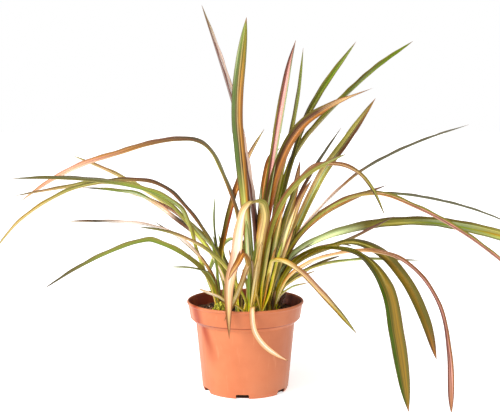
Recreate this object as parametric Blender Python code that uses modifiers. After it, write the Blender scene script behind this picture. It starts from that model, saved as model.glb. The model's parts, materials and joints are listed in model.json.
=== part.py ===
"""Potted New Zealand flax: a turned nursery pot, its soil, and ten leafy fans.

Each fan is one shoot. Its strap leaves grow out of a flat sheath of leaf bases, which stands in a
plain hole in the soil. A leaf follows a smooth curve in the upright plane of its heading, folded
like a gutter at its foot and opening towards its tip.

Units are metres, +Z up. The origin is on the pot's axis, on the surface that the pot stands on, and
-Y is the front.
"""

import math
import random
from collections import namedtuple

import bmesh
import bpy
import numpy as np
from mathutils import Matrix, Vector

CM = 0.01
MM = 0.001
GAP = 0.3 * MM
CREASE = math.radians(35)

# The pot: a three-litre nursery pot, thin plastic, with a band under its rim
POT_HEIGHT = 148 * MM
RIM_RADIUS = 95 * MM
BAND_DEPTH = 28 * MM
BAND_FOOT_RADIUS = 90.5 * MM
SHOULDER_DEPTH = 8 * MM
BODY_TOP_RADIUS = 81.5 * MM
BASE_RADIUS = 70.2 * MM
FOOT_BEVEL = 1 * MM
FOOT_BEVEL_HEIGHT = 5 * MM
LIP_BEAD = 1.2 * MM
LIP_DEPTH = 4 * MM
WALL = 1.8 * MM
FLOOR = 2.0 * MM
POT_STEPS = 54

# The drainage notches, at even angles round the bottom corner
NOTCH_COUNT = 6
NOTCH_WIDTH = 21 * MM
NOTCH_HEIGHT = 6.5 * MM
NOTCH_INSET = 5 * MM
FIRST_NOTCH = math.radians(-93.7)

# The soil: a low mound that ripples, in rings closer together towards the wall
SOIL_TOP = 128 * MM
SOIL_STEPS = 30
SOIL_RINGS = (0, 20, 38, 54, 69, 80)
SOIL_WALL_TOP = 126 * MM
SOIL_WALL_FOOT = 14 * MM
MOUND = 4 * MM
RIPPLE = 1.2 * MM
RIPPLE_LENGTH = 62 * MM
CRUMB = 0.7 * MM
CRUMB_LENGTH = 24 * MM

# The sheath at the foot of each fan, and the hole that it stands in
SHEATH_LENGTH = 24 * MM
SHEATH_DEPTH = 18 * MM
HOLE_REACH = 9 * MM
SHEATH_WIDE = 12.5 * MM
SHEATH_THICK = 6.5 * MM
SHEATH_TAPER = 0.45
SHEATH_SIDES = 12

# The leaves. A leaf is widest at WIDEST, a share of its length, and its feet are set side by side.
LEAF_THICKNESS = 0.8 * MM
FOOT_WIDTH = 0.62
TIP_WIDTH = 1.6 * MM
WIDEST = 0.55
TIP_POWER = 2.2
FOOT_HEIGHT = SOIL_TOP + 6 * MM
FIRST_FOOT = 1.0 * MM
FOOT_STEP = 0.8 * MM

# A leaf has a section for each SECTION_EVERY of its length, and a sharp bend counts as more length
CURVE_SAMPLES = 400
SECTION_EVERY = 62 * MM
FEWEST_SECTIONS = 3
MOST_SECTIONS = 12
BEND_SHARE = 60 * MM

# The young leaves that stand in the middle of each fan
YOUNG_LEAVES = 2
YOUNG_LENGTHS = (7.0, 15.0)
YOUNG_WIDTHS = (7.0, 11.0)
YOUNG_LEANS = (0.04, 0.16)
YOUNG_SEED = 4

# A leaf's heading is its compass direction in degrees from +X towards +Y. Its path holds
# (reach, height) points in centimetres, reach being counted from the fan's root, and a third
# number, where there is one, moves the point sideways. Width is in millimetres. Fold holds the
# gutter's opening angle at even places from foot to tip, and turn the leaf's twist at such places.
Leaf = namedtuple("Leaf", "heading path width fold turn tint", defaults=((70, 130), (0, 0, 0), "olive"))

# A fan's root is its place on the soil in centimetres.
Fan = namedtuple("Fan", "root leaves")

FANS = {
    "fan_left_outer": Fan((-4.8, -2.8), [
        Leaf(188, [(1.4, 18.9), (3.2, 23.9), (4.4, 28.1), (5.4, 30.1), (7.4, 31.8), (12, 33.7), (18.6, 34.9),
                   (25, 35.4), (32.1, 35.4)], 17, (60, 90), (0, 25, 25), "green"),
        Leaf(204, [(0.6, 17.8), (3.2, 21.3), (6.4, 23.7), (9.4, 25.2), (11.2, 25.8), (12.8, 25.7), (16.7, 24.7),
                   (23, 22.1), (28, 19.3)], 14, (60, 100), (0, 20, 10), "green"),
        Leaf(198, [(0.8, 19.6), (4.2, 24.3), (7.2, 26.6), (11, 28), (17, 28.8), (24, 29.1)],
             12, (60, 80), (0, 0, 0), "pink"),
        Leaf(193, [(0.6, 19.4), (5, 24.8), (10.3, 28.7)], 7, (60, 80), (0, 0, 0), "brown"),
        Leaf(216, [(0.5, 18.4), (1.5, 19.9), (3.6, 20.8), (9, 21.7)], 7, (60, 80), (0, 0, 0), "green"),
        Leaf(202, [(0.2, 18.9), (2.8, 23.1)], 5, (60, 80), (0, 0, 0), "brown"),
    ]),
    "fan_left": Fan((-2.8, -0.4), [
        Leaf(182, [(0.4, 18.9), (3, 24.8), (5.2, 28.2), (7.5, 31), (9.4, 32.9), (11.6, 34.1), (16.6, 34.7),
                   (21, 34.2), (25, 33.3), (29, 31.4), (33.6, 28.2), (38.8, 22.3)], 16, (60, 110), (0, 20, 20), "brown"),
        Leaf(176, [(1, 19.8), (3.4, 23.4), (6.3, 27), (9.2, 30.3), (12, 32.3), (16.3, 33.6), (21, 34.1),
                   (28, 33.1), (35.9, 31.7)], 15, (60, 90), (0, 30, 10), "olive"),
        Leaf(170, [(1.1, 19.4), (3, 22.8), (5.6, 25.6), (8.7, 27.9), (11.8, 30.2), (14.8, 31.9), (19.6, 32.7),
                   (25, 33)], 16, (60, 90), (0, 40, 0), "mint"),
        Leaf(166, [(1.4, 19.7), (4.1, 24), (7, 27.4), (10, 29.6), (13.3, 31.1), (17, 31.9)],
             13, (60, 90), (0, 20, 0), "cream"),
        Leaf(150, [(1.2, 18.7), (2.4, 24.1), (2.8, 27.9), (2.5, 32.2)], 7, (60, 80), (0, 0, 0), "brown"),
    ]),
    "fan_back_left": Fan((-2.4, 2.6), [
        Leaf(161, [(-0.4, 19), (-1.4, 24.4), (-0.9, 29.4), (0.3, 32.7), (1.9, 36.3), (3.6, 39.2), (4.8, 40.2),
                   (6.3, 40.8), (9.5, 40.9), (15, 40), (20.5, 38.4), (27.5, 36.3), (34.1, 33.2), (40.4, 29.3)],
             16, (60, 110), (20, 20, 15), "brown"),
        Leaf(153, [(0.8, 20), (5, 24.4), (10, 28.2), (16, 31.5), (22.2, 34.2), (32.4, 37.6)],
             13, (60, 100), (0, 20, 20), "olive"),
        Leaf(18, [(-1.2, 17.4), (-1.8, 20.4), (-1.6, 22.9), (-1, 25.7), (1.2, 33.5), (3.1, 38.1), (5.8, 42.7)],
             12, (60, 100), (30, 30, 20), "brown"),
    ]),
    "fan_front": Fan((0.8, -4.4), [
        Leaf(210, [(-0.5, 20, 0.9), (-1.2, 26.2, 1.5), (-1.5, 30, 1.9), (-0.9, 31.4, 2.1), (0.7, 31.7, 2.1),
                   (2, 30.8, 2.1), (3.3, 28.2, 2.5), (4.7, 24.1, 2.8), (5.7, 18.9, 3.3), (6, 14.5, 3.7),
                   (6, 10.8, 3.9)], 14, (70, 120), (40, 10, -50, -60), "cream"),
        Leaf(228, [(0.8, 18.4, 1.1), (1.2, 20.9, 1.5), (2, 21.4, 1.6), (3.6, 19.3, 1.7), (5.7, 16.7, 1.7),
                   (7.2, 13.6, 1.1)], 9, (60, 100), (0, -20, -30), "tan"),
        Leaf(225, [(0.3, 19, 0.4), (0.6, 21.9, 0.5), (1.5, 23.5, 0.5), (2.9, 22.2, 0.2), (4.6, 18.9, -0.6)],
             10, (60, 100), (0, -20, -40), "brown"),
        Leaf(-47, [(2.2, 18), (3.6, 21.3), (5, 22.6), (7.2, 22.8), (11.1, 21.6), (15.2, 19.1), (22.6, 14)],
             13, (60, 100), (0, 20, 20), "cream"),
        Leaf(-90, [(1.6, 14.7, 0.9), (3.6, 15.2, 0.5), (5.2, 15.25, 0.3), (6.1, 14.2, 0.3), (6.4, 12, 0.7),
                   (6.6, 10, 2), (6.7, 8.3, 4.2), (6.7, 7.4, 5.9)], 8, (60, 110), (0, 0, 0), "cream"),
        Leaf(190, [(0.8, 15.6), (2.2, 18.2), (4, 21.1), (6.8, 23.8), (9.7, 25.6), (13.6, 27.1), (18, 27.9)],
             13, (60, 100), (0, 20, 20), "olive"),
        Leaf(188, [(2, 14.6), (3.9, 15.5), (5.2, 16.3), (6.7, 16.9), (8.4, 17.7)], 8, (60, 90), (0, 0, 0), "cream"),
        Leaf(180, [(0.1, 18), (0.3, 23), (0.6, 28.4)], 12, (70, 100), (80, 90, 90), "mint"),
    ]),
    "fan_centre": Fan((1.2, -1.2), [
        Leaf(185, [(0.3, 19.9), (0.8, 25.7), (1.3, 31.4), (2.1, 39.5), (2.5, 44.3), (2.4, 49.1), (1.9, 53.9),
                   (1, 60.6)], 21, (80, 130), (80, 90, 80), "green"),
        Leaf(-4, [(1.5, 19.1), (2.5, 24.1), (3.9, 29), (6, 32.6), (8.9, 35.4), (12.4, 37.5), (15.1, 38.8)],
             14, (60, 100), (30, 40, 10), "olive"),
        Leaf(-9, [(2.9, 20), (4.5, 25.8), (6.4, 31.5), (8, 35.1), (9.8, 36.8), (12.2, 37.3), (14.9, 37), (17, 35.9),
                  (19, 33.6), (21.4, 28.9)], 14, (60, 100), (30, 40, 20), "tan"),
        Leaf(6, [(1.5, 18.2), (2.6, 23.2), (4.4, 28.9), (5.9, 33)], 13, (60, 100), (50, 60, 60), "brown"),
        Leaf(3, [(0.8, 18), (1.4, 22.5), (2, 26), (2.7, 29.6)], 12, (60, 90), (60, 70, 70), "orange"),
        Leaf(10, [(0.4, 18), (0.9, 22.8), (1.3, 27), (1.4, 31)], 13, (60, 90), (70, 80, 80), "tan"),
    ]),
    "fan_middle": Fan((2.2, 1.4), [
        Leaf(172, [(0.3, 22), (1.1, 31.1), (2.3, 38.5), (3.8, 45.6), (5.4, 51.1), (7.4, 57.2), (9.4, 62.9)],
             16, (70, 110), (60, 60, 60), "red"),
        Leaf(10, [(0.1, 20.8), (1.3, 31.1), (2.3, 37.7), (3.2, 43.4), (4.2, 49.1), (5.2, 54), (6.1, 57.2)],
             16, (70, 120), (80, 80, 70), "pink"),
        Leaf(4, [(0.6, 22.8), (1.6, 30.3), (3.3, 36.9), (5.1, 40.8), (7.3, 43.6), (10.4, 45.8), (13.3, 47.3),
                 (18.8, 49.5)], 19, (70, 120), (70, 90, 80, 10, 20), "orange"),
        Leaf(22, [(2.4, 16.8), (3.9, 20.6), (6.8, 26.2), (9.3, 31.1), (12.1, 35.8), (15.5, 39.9), (21.6, 47.8)],
             17, (70, 110), (60, 60, 40), "cream"),
        Leaf(24, [(2.5, 17.6), (3.7, 22.6), (5.2, 27.6), (6.7, 32.5), (7.6, 37.5)],
             14, (60, 100), (40, 50, 50), "brown"),
        Leaf(17, [(1.9, 16.9), (3.6, 21), (5.9, 27.3), (7.7, 31.8), (9.4, 34.4)],
             13, (60, 100), (40, 50, 40), "orange"),
        Leaf(30, [(1.2, 19), (2.4, 24.5), (3.2, 29.5)], 12, (60, 90), (60, 70, 70), "olive"),
    ]),
    "fan_right_front": Fan((4.2, -2.8), [
        Leaf(-16, [(2, 17.6), (4.4, 19.8), (7.7, 21.3), (13.4, 22.5), (24.2, 22.9)], 11, (60, 90), (0, 0, 0), "green"),
        Leaf(-36, [(3.4, 19.5), (6.6, 21.9), (11.5, 23.8), (18.7, 25), (23, 24.3), (26.4, 22.1), (29.3, 18.1),
                   (30.8, 11.6), (31.3, 3.4)], 14, (60, 120), (0, 10, 10), "pink"),
        Leaf(-29, [(2.6, 19.4), (5.4, 22.3), (9.3, 24.4), (14.5, 25.8), (18.4, 24.4), (21.9, 20.8), (25.8, 14.9),
                   (27.9, 9)], 16, (60, 120), (0, 30, 45), "olive"),
        Leaf(-43, [(2.6, 19.2), (5.2, 22.3), (9.2, 24.6), (14.2, 25.3), (17.4, 24.8), (19.9, 23.2), (21.8, 20.5),
                   (23.3, 13.9), (25.8, 3)], 23, (60, 130), (0, 30, 50), "green"),
        Leaf(-12, [(2.2, 17.6), (4.7, 19.6), (7.9, 21.6), (11.4, 23)], 10, (60, 90), (0, 20, 0), "brown"),
        Leaf(-25, [(1.5, 16), (3.4, 17.6), (6.6, 18.7)], 6, (60, 90), (0, 0, 0), "tan"),
    ]),
    "fan_right": Fan((4.6, 0.4), [
        Leaf(16, [(1.9, 20.4), (4.6, 25.8), (7.8, 29.4), (11.6, 32.9), (15.2, 35.6), (20.6, 38.4), (27.9, 41.2),
                  (35.2, 43.3)], 11, (60, 80), (0, 0, 0), "brown"),
        Leaf(10, [(1.8, 20.4), (4.5, 25.2), (8.7, 28.8), (13, 31), (19.5, 33.5)], 17, (60, 100), (0, 40, 0), "orange"),
        Leaf(19, [(1.9, 20.4), (4.4, 24.8), (7.6, 28.3), (12.8, 31), (20.3, 31.7), (30.9, 30.2), (43.1, 26.4),
                  (46.3, 25)], 12, (60, 90), (0, 0, 0), "green"),
        Leaf(-2, [(2, 22), (4.8, 26.2), (9, 29.9), (12.8, 31.8), (16.3, 32.4), (23.7, 30), (31, 26), (40, 19.2)],
             14, (60, 100), (0, 20, 20), "pink"),
        Leaf(5, [(1.6, 20.1), (3.9, 22.6), (6.9, 24.2), (10.2, 25.5), (14.6, 26.6), (20.5, 27.3), (26, 27.3),
                 (32.2, 26.4), (38, 25), (43.5, 23.3)], 23, (60, 150), (0, 30, 40, 5, 60), "green"),
        Leaf(-9, [(1.9, 19), (4.4, 21.2), (10.9, 24.2), (15.6, 26.7), (19.7, 29)], 11, (60, 90), (0, 20, 0), "tan"),
        Leaf(0, [(2, 19.8), (4.5, 22), (8.6, 23.6), (11.2, 24), (13.4, 23.5)], 9, (60, 90), (0, 20, 0), "olive"),
        Leaf(13, [(1.2, 18.4), (2.6, 22.9), (4, 27)], 12, (60, 90), (50, 60, 60), "olive"),
    ]),
    "fan_back": Fan((3.4, 3.9), [
        Leaf(26, [(0.5, 19), (1, 23.5), (1.9, 30), (3.6, 37.5), (5.1, 43.3), (6.2, 48.9), (7, 56.2)],
             11, (60, 90), (40, 40, 30), "olive"),
        Leaf(36, [(1.2, 19), (2.2, 24.8), (3.6, 30.7), (6.4, 39.1), (8.6, 44.3), (11.2, 48.1), (19.8, 57.7)],
             16, (60, 110), (20, 40, 30), "green"),
        Leaf(42, [(1.3, 19), (2.2, 24.8), (3.4, 30.7), (5.7, 36.6), (9.2, 40.8), (14.1, 44.7), (20.6, 49.1),
                  (27.3, 53.2), (38.1, 58.6)], 18, (60, 110), (0, 20, 35), "green"),
        Leaf(26, [(1.4, 18), (2.4, 21), (3.9, 25.8), (6.5, 31.4), (9.6, 36.2), (14.5, 42.7)],
             9, (60, 90), (20, 20, 10), "brown"),
        Leaf(160, [(0.5, 20), (0.7, 24), (1, 28.3), (0.8, 33.5)], 9, (60, 90), (60, 60, 60), "mint"),
    ]),
    "fan_rear": Fan((2, 6), [
        Leaf(78, [(1.5, 22), (4.2, 29), (9, 33), (17, 31.5), (24, 25)], 15, (60, 120), (0, 10, 20), "green"),
        Leaf(97, [(1.2, 21), (3.8, 27), (9, 30.6), (16, 30), (24, 24)], 15, (60, 120), (0, -10, -20), "olive"),
        Leaf(68, [(0.8, 24), (2.6, 32), (6, 37.4), (11, 39)], 13, (60, 120), (0, 10, 10), "brown"),
        Leaf(52, [(2, 20), (6, 24.6), (13, 26), (20, 23), (25, 18)], 13, (60, 120), (0, 10, 20), "olive"),
        Leaf(120, [(1, 18), (3.5, 21.6), (8, 23), (14, 20), (19, 14)], 13, (60, 120), (0, 10, 20), "green"),
        Leaf(88, [(1, 17), (4, 20), (9, 20.6), (15, 17), (18.6, 12)], 11, (60, 120), (0, 0, 0), "tan"),
    ]),
}

TINTS = {
    "green": (0.16, 0.25, 0.05),
    "olive": (0.27, 0.26, 0.06),
    "mint": (0.40, 0.50, 0.28),
    "brown": (0.28, 0.13, 0.05),
    "orange": (0.55, 0.26, 0.08),
    "tan": (0.55, 0.36, 0.16),
    "cream": (0.85, 0.70, 0.45),
    "pink": (0.75, 0.42, 0.33),
    "red": (0.35, 0.08, 0.06),
}


def clear_scene():
    for obj in list(bpy.data.objects):
        bpy.data.objects.remove(obj)


def make_collection(name):
    collection = bpy.data.collections.new(name)
    bpy.context.scene.collection.children.link(collection)
    return collection


def make_material(name, colour, roughness):
    material = bpy.data.materials.new(name)
    material.use_nodes = True
    shader = material.node_tree.nodes["Principled BSDF"]
    shader.inputs["Base Color"].default_value = (*colour, 1.0)
    shader.inputs["Roughness"].default_value = roughness
    shader.inputs["Metallic"].default_value = 0.0
    return material


def add_object(name, mesh, collection, material=None):
    obj = bpy.data.objects.new(name, mesh)
    collection.objects.link(obj)
    if material:
        mesh.materials.append(material)
    return obj


def add_cutter(name, mesh, collection):
    cutter = add_object(name, mesh, collection)
    cutter.hide_render = True
    cutter.display_type = "WIRE"


def mesh_from(name, bm):
    mesh = bpy.data.meshes.new(name)
    bm.to_mesh(mesh)
    bm.free()
    return mesh


def apply_modifiers(obj):
    """Replaces the object's mesh by the one that its modifiers make."""
    bpy.context.view_layer.update()
    graph = bpy.context.evaluated_depsgraph_get()
    made = bpy.data.meshes.new_from_object(obj.evaluated_get(graph))
    obj.modifiers.clear()
    obj.data = made


def keep_outer_shell(obj):
    """Drops every shell but the largest: the scraps and sealed hollows that joining leaves."""
    bm = bmesh.new()
    bm.from_mesh(obj.data)
    unseen = set(bm.faces)
    shells = []
    while unseen:
        shell, front = [], [unseen.pop()]
        while front:
            face = front.pop()
            shell.append(face)
            near = {other for edge in face.edges for other in edge.link_faces} & unseen
            unseen -= near
            front.extend(near)
        shells.append(shell)
    shells.sort(key=len)
    spare = [face for shell in shells[:-1] for face in shell]
    bmesh.ops.delete(bm, geom=spare, context="FACES")
    bm.to_mesh(obj.data)
    bm.free()


def combine(obj, collection, operation, solver="EXACT"):
    """Cuts the collection's objects out of the object, or joins them to it, and applies the result."""
    boolean = obj.modifiers.new(operation.lower(), "BOOLEAN")
    boolean.operand_type = "COLLECTION"
    boolean.collection = collection
    boolean.operation = operation
    boolean.solver = solver
    boolean.material_mode = "TRANSFER"
    apply_modifiers(obj)


def shade_round(obj):
    obj.data.shade_smooth()
    obj.data.set_sharp_from_angle(angle=CREASE)


def turned(name, profile, steps, collection, material):
    """A solid of revolution about Z from (radius, height) points that run down the outer side."""
    bm = bmesh.new()
    points = [bm.verts.new((radius, 0.0, height)) for radius, height in profile]
    for start, end in zip(points, points[1:]):
        bm.edges.new((start, end))
    obj = add_object(name, mesh_from(name, bm), collection, material)
    screw = obj.modifiers.new("turn", "SCREW")
    screw.steps = steps
    screw.render_steps = steps
    screw.use_merge_vertices = True
    screw.merge_threshold = 0.00001
    return obj


def outer_profile():
    """The pot's outer side from the rim down, as (radius, height)."""
    band_foot = POT_HEIGHT - BAND_DEPTH
    shoulder_foot = band_foot - SHOULDER_DEPTH
    lip_foot = POT_HEIGHT - LIP_DEPTH
    return [
        (RIM_RADIUS, POT_HEIGHT),
        (RIM_RADIUS + LIP_BEAD, POT_HEIGHT - LIP_BEAD),
        (RIM_RADIUS + LIP_BEAD, lip_foot),
        (RIM_RADIUS - LIP_BEAD / 2, lip_foot - LIP_BEAD),
        (BAND_FOOT_RADIUS, band_foot),
        (BODY_TOP_RADIUS, shoulder_foot),
        (BASE_RADIUS + FOOT_BEVEL, FOOT_BEVEL_HEIGHT),
        (BASE_RADIUS - FOOT_BEVEL, 0.0),
    ]


def inner_profile():
    """The pot's inner side from the rim down to the floor."""
    band_foot = POT_HEIGHT - BAND_DEPTH
    shoulder_foot = band_foot - SHOULDER_DEPTH
    return [
        (RIM_RADIUS - WALL, POT_HEIGHT),
        (BAND_FOOT_RADIUS - WALL, band_foot + WALL / 2),
        (BODY_TOP_RADIUS - WALL, shoulder_foot + WALL / 2),
        (BASE_RADIUS - WALL, FLOOR),
    ]


def inner_radius(height):
    heights = [point[1] for point in reversed(inner_profile())]
    radii = [point[0] for point in reversed(inner_profile())]
    return float(np.interp(height, heights, radii))


def make_notch_cutters(collection):
    """Boxes that cut the drainage notches through the wall and a little way into the floor."""
    depth = 2 * NOTCH_INSET
    for index in range(NOTCH_COUNT):
        angle = FIRST_NOTCH + index * math.tau / NOTCH_COUNT
        bm = bmesh.new()
        bmesh.ops.create_cube(bm, size=1.0)
        bmesh.ops.scale(bm, vec=(depth, NOTCH_WIDTH, 2 * NOTCH_HEIGHT), verts=bm.verts)
        bmesh.ops.translate(bm, vec=(BASE_RADIUS, 0, 0), verts=bm.verts)
        bmesh.ops.rotate(bm, matrix=Matrix.Rotation(angle, 3, "Z"), verts=bm.verts)
        add_cutter(f"notch_{index}", mesh_from("notch", bm), collection)


def make_pot(collection, cutters):
    profile = [(0.0, FLOOR), *reversed(inner_profile()), *outer_profile(), (0.0, 0.0)]
    plastic = make_material("terracotta plastic", (0.84, 0.33, 0.15), 0.42)
    pot = turned("pot", profile, POT_STEPS, collection, plastic)
    make_notch_cutters(cutters)
    combine(pot, cutters, "DIFFERENCE")
    shade_round(pot)


def soil_height(x, y):
    """The top of the soil: a low mound with crumbly hollows."""
    mound = MOUND * (1 - (x * x + y * y) / RIM_RADIUS**2)
    wave = math.tau / RIPPLE_LENGTH
    ripple = RIPPLE * math.sin(x * wave) * math.cos(y * wave)
    crumb = CRUMB * math.sin((x - y) * math.tau / CRUMB_LENGTH)
    return SOIL_TOP + mound + ripple + crumb


def soil_profile():
    """The soil's outline, clear of the pot's wall and floor, from its top down to its underside."""
    top = [(radius * MM, SOIL_TOP) for radius in SOIL_RINGS]
    corners = [height for _, height in inner_profile()[1:3]]
    heights = (SOIL_WALL_TOP, *corners, SOIL_WALL_FOOT)
    side = [(inner_radius(height) - 2 * GAP, height) for height in heights]
    foot = FLOOR + GAP
    return [*top, *side, (inner_radius(foot) - NOTCH_INSET, foot), (0.0, foot)]


def make_soil(collection, sockets):
    compost = make_material("compost", (0.045, 0.022, 0.012), 0.95)
    soil = turned("soil", soil_profile(), SOIL_STEPS, collection, compost)
    apply_modifiers(soil)
    for vertex in soil.data.vertices:
        if vertex.co.z > SOIL_WALL_TOP + GAP:
            vertex.co.z = soil_height(vertex.co.x, vertex.co.y)
    combine(soil, sockets, "DIFFERENCE")
    shade_round(soil)


def smooth_curve(points):
    """A dense smooth curve through the given points."""
    points = np.array(points, float)
    knots = np.concatenate([[0.0], np.cumsum(np.linalg.norm(np.diff(points, axis=0), axis=1))])
    slopes = np.gradient(points, knots, axis=0)
    at = np.linspace(0.0, knots[-1], CURVE_SAMPLES)
    piece = np.clip(np.searchsorted(knots, at, side="right") - 1, 0, len(knots) - 2)
    span = (knots[piece + 1] - knots[piece])[:, None]
    t = (at[:, None] - knots[piece][:, None]) / span
    return (
        (2 * t**3 - 3 * t**2 + 1) * points[piece]
        + (t**3 - 2 * t**2 + t) * span * slopes[piece]
        + (3 * t**2 - 2 * t**3) * points[piece + 1]
        + (t**3 - t**2) * span * slopes[piece + 1]
    )


def leaf_stations(curve):
    """Places along the curve, closer where it bends, each with its share of the leaf's length."""
    steps = np.diff(curve, axis=0)
    lengths = np.linalg.norm(steps, axis=1)
    ahead = steps / lengths[:, None]
    bends = np.concatenate([[0.0], np.linalg.norm(np.diff(ahead, axis=0), axis=1)])
    measure = np.concatenate([[0.0], np.cumsum(lengths + BEND_SHARE * bends)])
    travelled = np.concatenate([[0.0], np.cumsum(lengths)])
    sections = min(MOST_SECTIONS, max(FEWEST_SECTIONS, round(measure[-1] / SECTION_EVERY)))
    even = np.linspace(0.0, measure[-1], sections + 1)
    places = np.array([np.interp(even, measure, curve[:, axis]) for axis in range(3)]).T
    shares = np.interp(even, measure, travelled / travelled[-1])
    return places, shares


def leaf_points(fan, leaf, order):
    """The leaf's path in metres, from its foot inside the sheath."""
    heading = math.radians(leaf.heading)
    along = np.array([math.cos(heading), math.sin(heading), 0.0])
    across = np.array([-math.sin(heading), math.cos(heading), 0.0])
    root = np.array([fan.root[0] * CM, fan.root[1] * CM, 0.0])
    foot = ((FIRST_FOOT + FOOT_STEP * order) / CM, FOOT_HEIGHT / CM)
    points = []
    for reach, height, *aside in [foot, *leaf.path]:
        sideways = aside[0] * CM if aside else 0.0
        points.append(root + along * reach * CM + across * sideways + np.array([0, 0, height * CM]))
    return points


def leaf_width(leaf, along):
    """Narrow at the foot, widest past the middle, drawn to a fine tip."""
    opening = math.sin(min(along / WIDEST, 1.0) * math.pi / 2)
    full = leaf.width * MM * (FOOT_WIDTH + (1 - FOOT_WIDTH) * opening)
    past = max(along - WIDEST, 0.0) / (1 - WIDEST)
    return max(full * (1 - past**TIP_POWER), TIP_WIDTH)


def blend(values, along):
    return float(np.interp(along, np.linspace(0.0, 1.0, len(values)), values))


def leaf_mesh(fan, leaf, order):
    """A folded strap: a flat strip of faces, three points wide, laid along the leaf's path."""
    places, shares = leaf_stations(smooth_curve(leaf_points(fan, leaf, order)))
    sections = len(places) - 1
    tangents = np.gradient(places, axis=0)
    heading = math.radians(leaf.heading)
    level = Vector((-math.sin(heading), math.cos(heading), 0.0))
    bm = bmesh.new()
    bmesh.ops.create_grid(bm, x_segments=2, y_segments=sections, size=0.5)
    bmesh.ops.triangulate(bm, faces=bm.faces, quad_method="FIXED")
    for vertex in bm.verts:
        station = round((vertex.co.y + 0.5) * sections)
        side = round(vertex.co.x * 2)
        along = shares[station]
        tangent = Vector(tangents[station]).normalized()
        across = (level - tangent * level.dot(tangent)).normalized()
        inward = tangent.cross(across)
        turn = math.radians(blend(leaf.turn, along))
        wing = across * math.cos(turn) + inward * math.sin(turn)
        hollow = inward * math.cos(turn) - across * math.sin(turn)
        half_fold = math.radians(blend(leaf.fold, along)) / 2
        half_width = leaf_width(leaf, along) / 2
        vertex.co = (
            Vector(places[station])
            + wing * side * half_width * math.sin(half_fold)
            + hollow * (abs(side) - 0.5) * half_width * math.cos(half_fold)
        )
    return mesh_from("leaf", bm)


def sheath_mesh(fan, top, taper=1.0, grow=0.0):
    """A flat stem of leaf bases, elliptical in section, from under the soil to a height above it."""
    bottom = SOIL_TOP - SHEATH_DEPTH - grow
    bm = bmesh.new()
    bmesh.ops.create_cone(
        bm, cap_ends=True, segments=SHEATH_SIDES, radius1=1.0, radius2=taper, depth=top - bottom
    )
    for vertex in bm.verts:
        vertex.co.x = fan.root[0] * CM + vertex.co.x * (SHEATH_WIDE + grow)
        vertex.co.y = fan.root[1] * CM + vertex.co.y * (SHEATH_THICK + grow)
        vertex.co.z += (top + bottom) / 2
    return mesh_from("sheath", bm)


def young_leaves(fan, rng):
    """Short upright leaves in the middle of a fan, each headed like one of its long leaves."""
    soil = SOIL_TOP / CM
    leaves = []
    for _ in range(YOUNG_LEAVES):
        lean = rng.uniform(*YOUNG_LEANS)
        length = rng.uniform(*YOUNG_LENGTHS)
        path = [(lean * length / 2, soil + length / 2), (lean * length * 1.4, soil + length)]
        heading = rng.choice(fan.leaves).heading
        tint = rng.choice(("green", "olive", "cream"))
        width = rng.uniform(*YOUNG_WIDTHS)
        leaves.append(Leaf(heading, path, width, (60, 90), (rng.uniform(0, 80),) * 2, tint))
    return leaves


def all_leaves():
    """Each fan's listed leaves with its young ones."""
    rng = random.Random(YOUNG_SEED)
    return {name: [*fan.leaves, *young_leaves(fan, rng)] for name, fan in FANS.items()}


def make_socket(name, fan, collection):
    """The plain hole in which a fan's foot stands, as a cutter."""
    add_cutter(f"hole_{name}", sheath_mesh(fan, SOIL_TOP + HOLE_REACH, grow=GAP), collection)


def make_fan(name, fan, leaves, collection, tints):
    """One shoot: its leaves joined to the sheath that they grow from."""
    sheath = sheath_mesh(fan, SOIL_TOP + SHEATH_LENGTH, SHEATH_TAPER)
    node = add_object(name, sheath, collection, tints["olive"])
    blades = make_collection(f"{name}_leaves")
    for order, leaf in enumerate(leaves):
        mesh = leaf_mesh(fan, leaf, order)
        blade = add_object(f"{name}_leaf_{order}", mesh, blades, tints[leaf.tint])
        thicken = blade.modifiers.new("thickness", "SOLIDIFY")
        thicken.thickness = LEAF_THICKNESS
        thicken.offset = 0.0
        thicken.use_even_offset = True
    combine(node, blades, "UNION", solver="MANIFOLD")
    keep_outer_shell(node)
    for blade in list(blades.objects):
        bpy.data.objects.remove(blade)
    bpy.data.collections.remove(blades)
    shade_round(node)


def main():
    clear_scene()
    part = make_collection("potted_new_zealand_flax")
    notches = make_collection("notch_cutters")
    sockets = make_collection("socket_cutters")
    make_pot(part, notches)
    for name, fan in FANS.items():
        make_socket(name, fan, sockets)
    make_soil(part, sockets)
    tints = {tint: make_material(f"{tint} leaf", colour, 0.45) for tint, colour in TINTS.items()}
    for name, leaves in all_leaves().items():
        make_fan(name, FANS[name], leaves, part, tints)


main()
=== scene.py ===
# %% [markdown]
# # A potted New Zealand flax
#
# This lesson dresses a measured model of a young flax in a nursery pot. The measured model, here
# called the frame, holds twelve solids: the pot, the soil and ten leafy fans. It is exact but plain.
# We replace its faceted blades with fine ones that follow the same curves, and we give each surface
# the colours and the grain of the real thing.
#
# Everything is in metres, with +Z up. The pot stands on the origin and its front faces -Y.

import json
import math
import random
from collections import namedtuple

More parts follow.
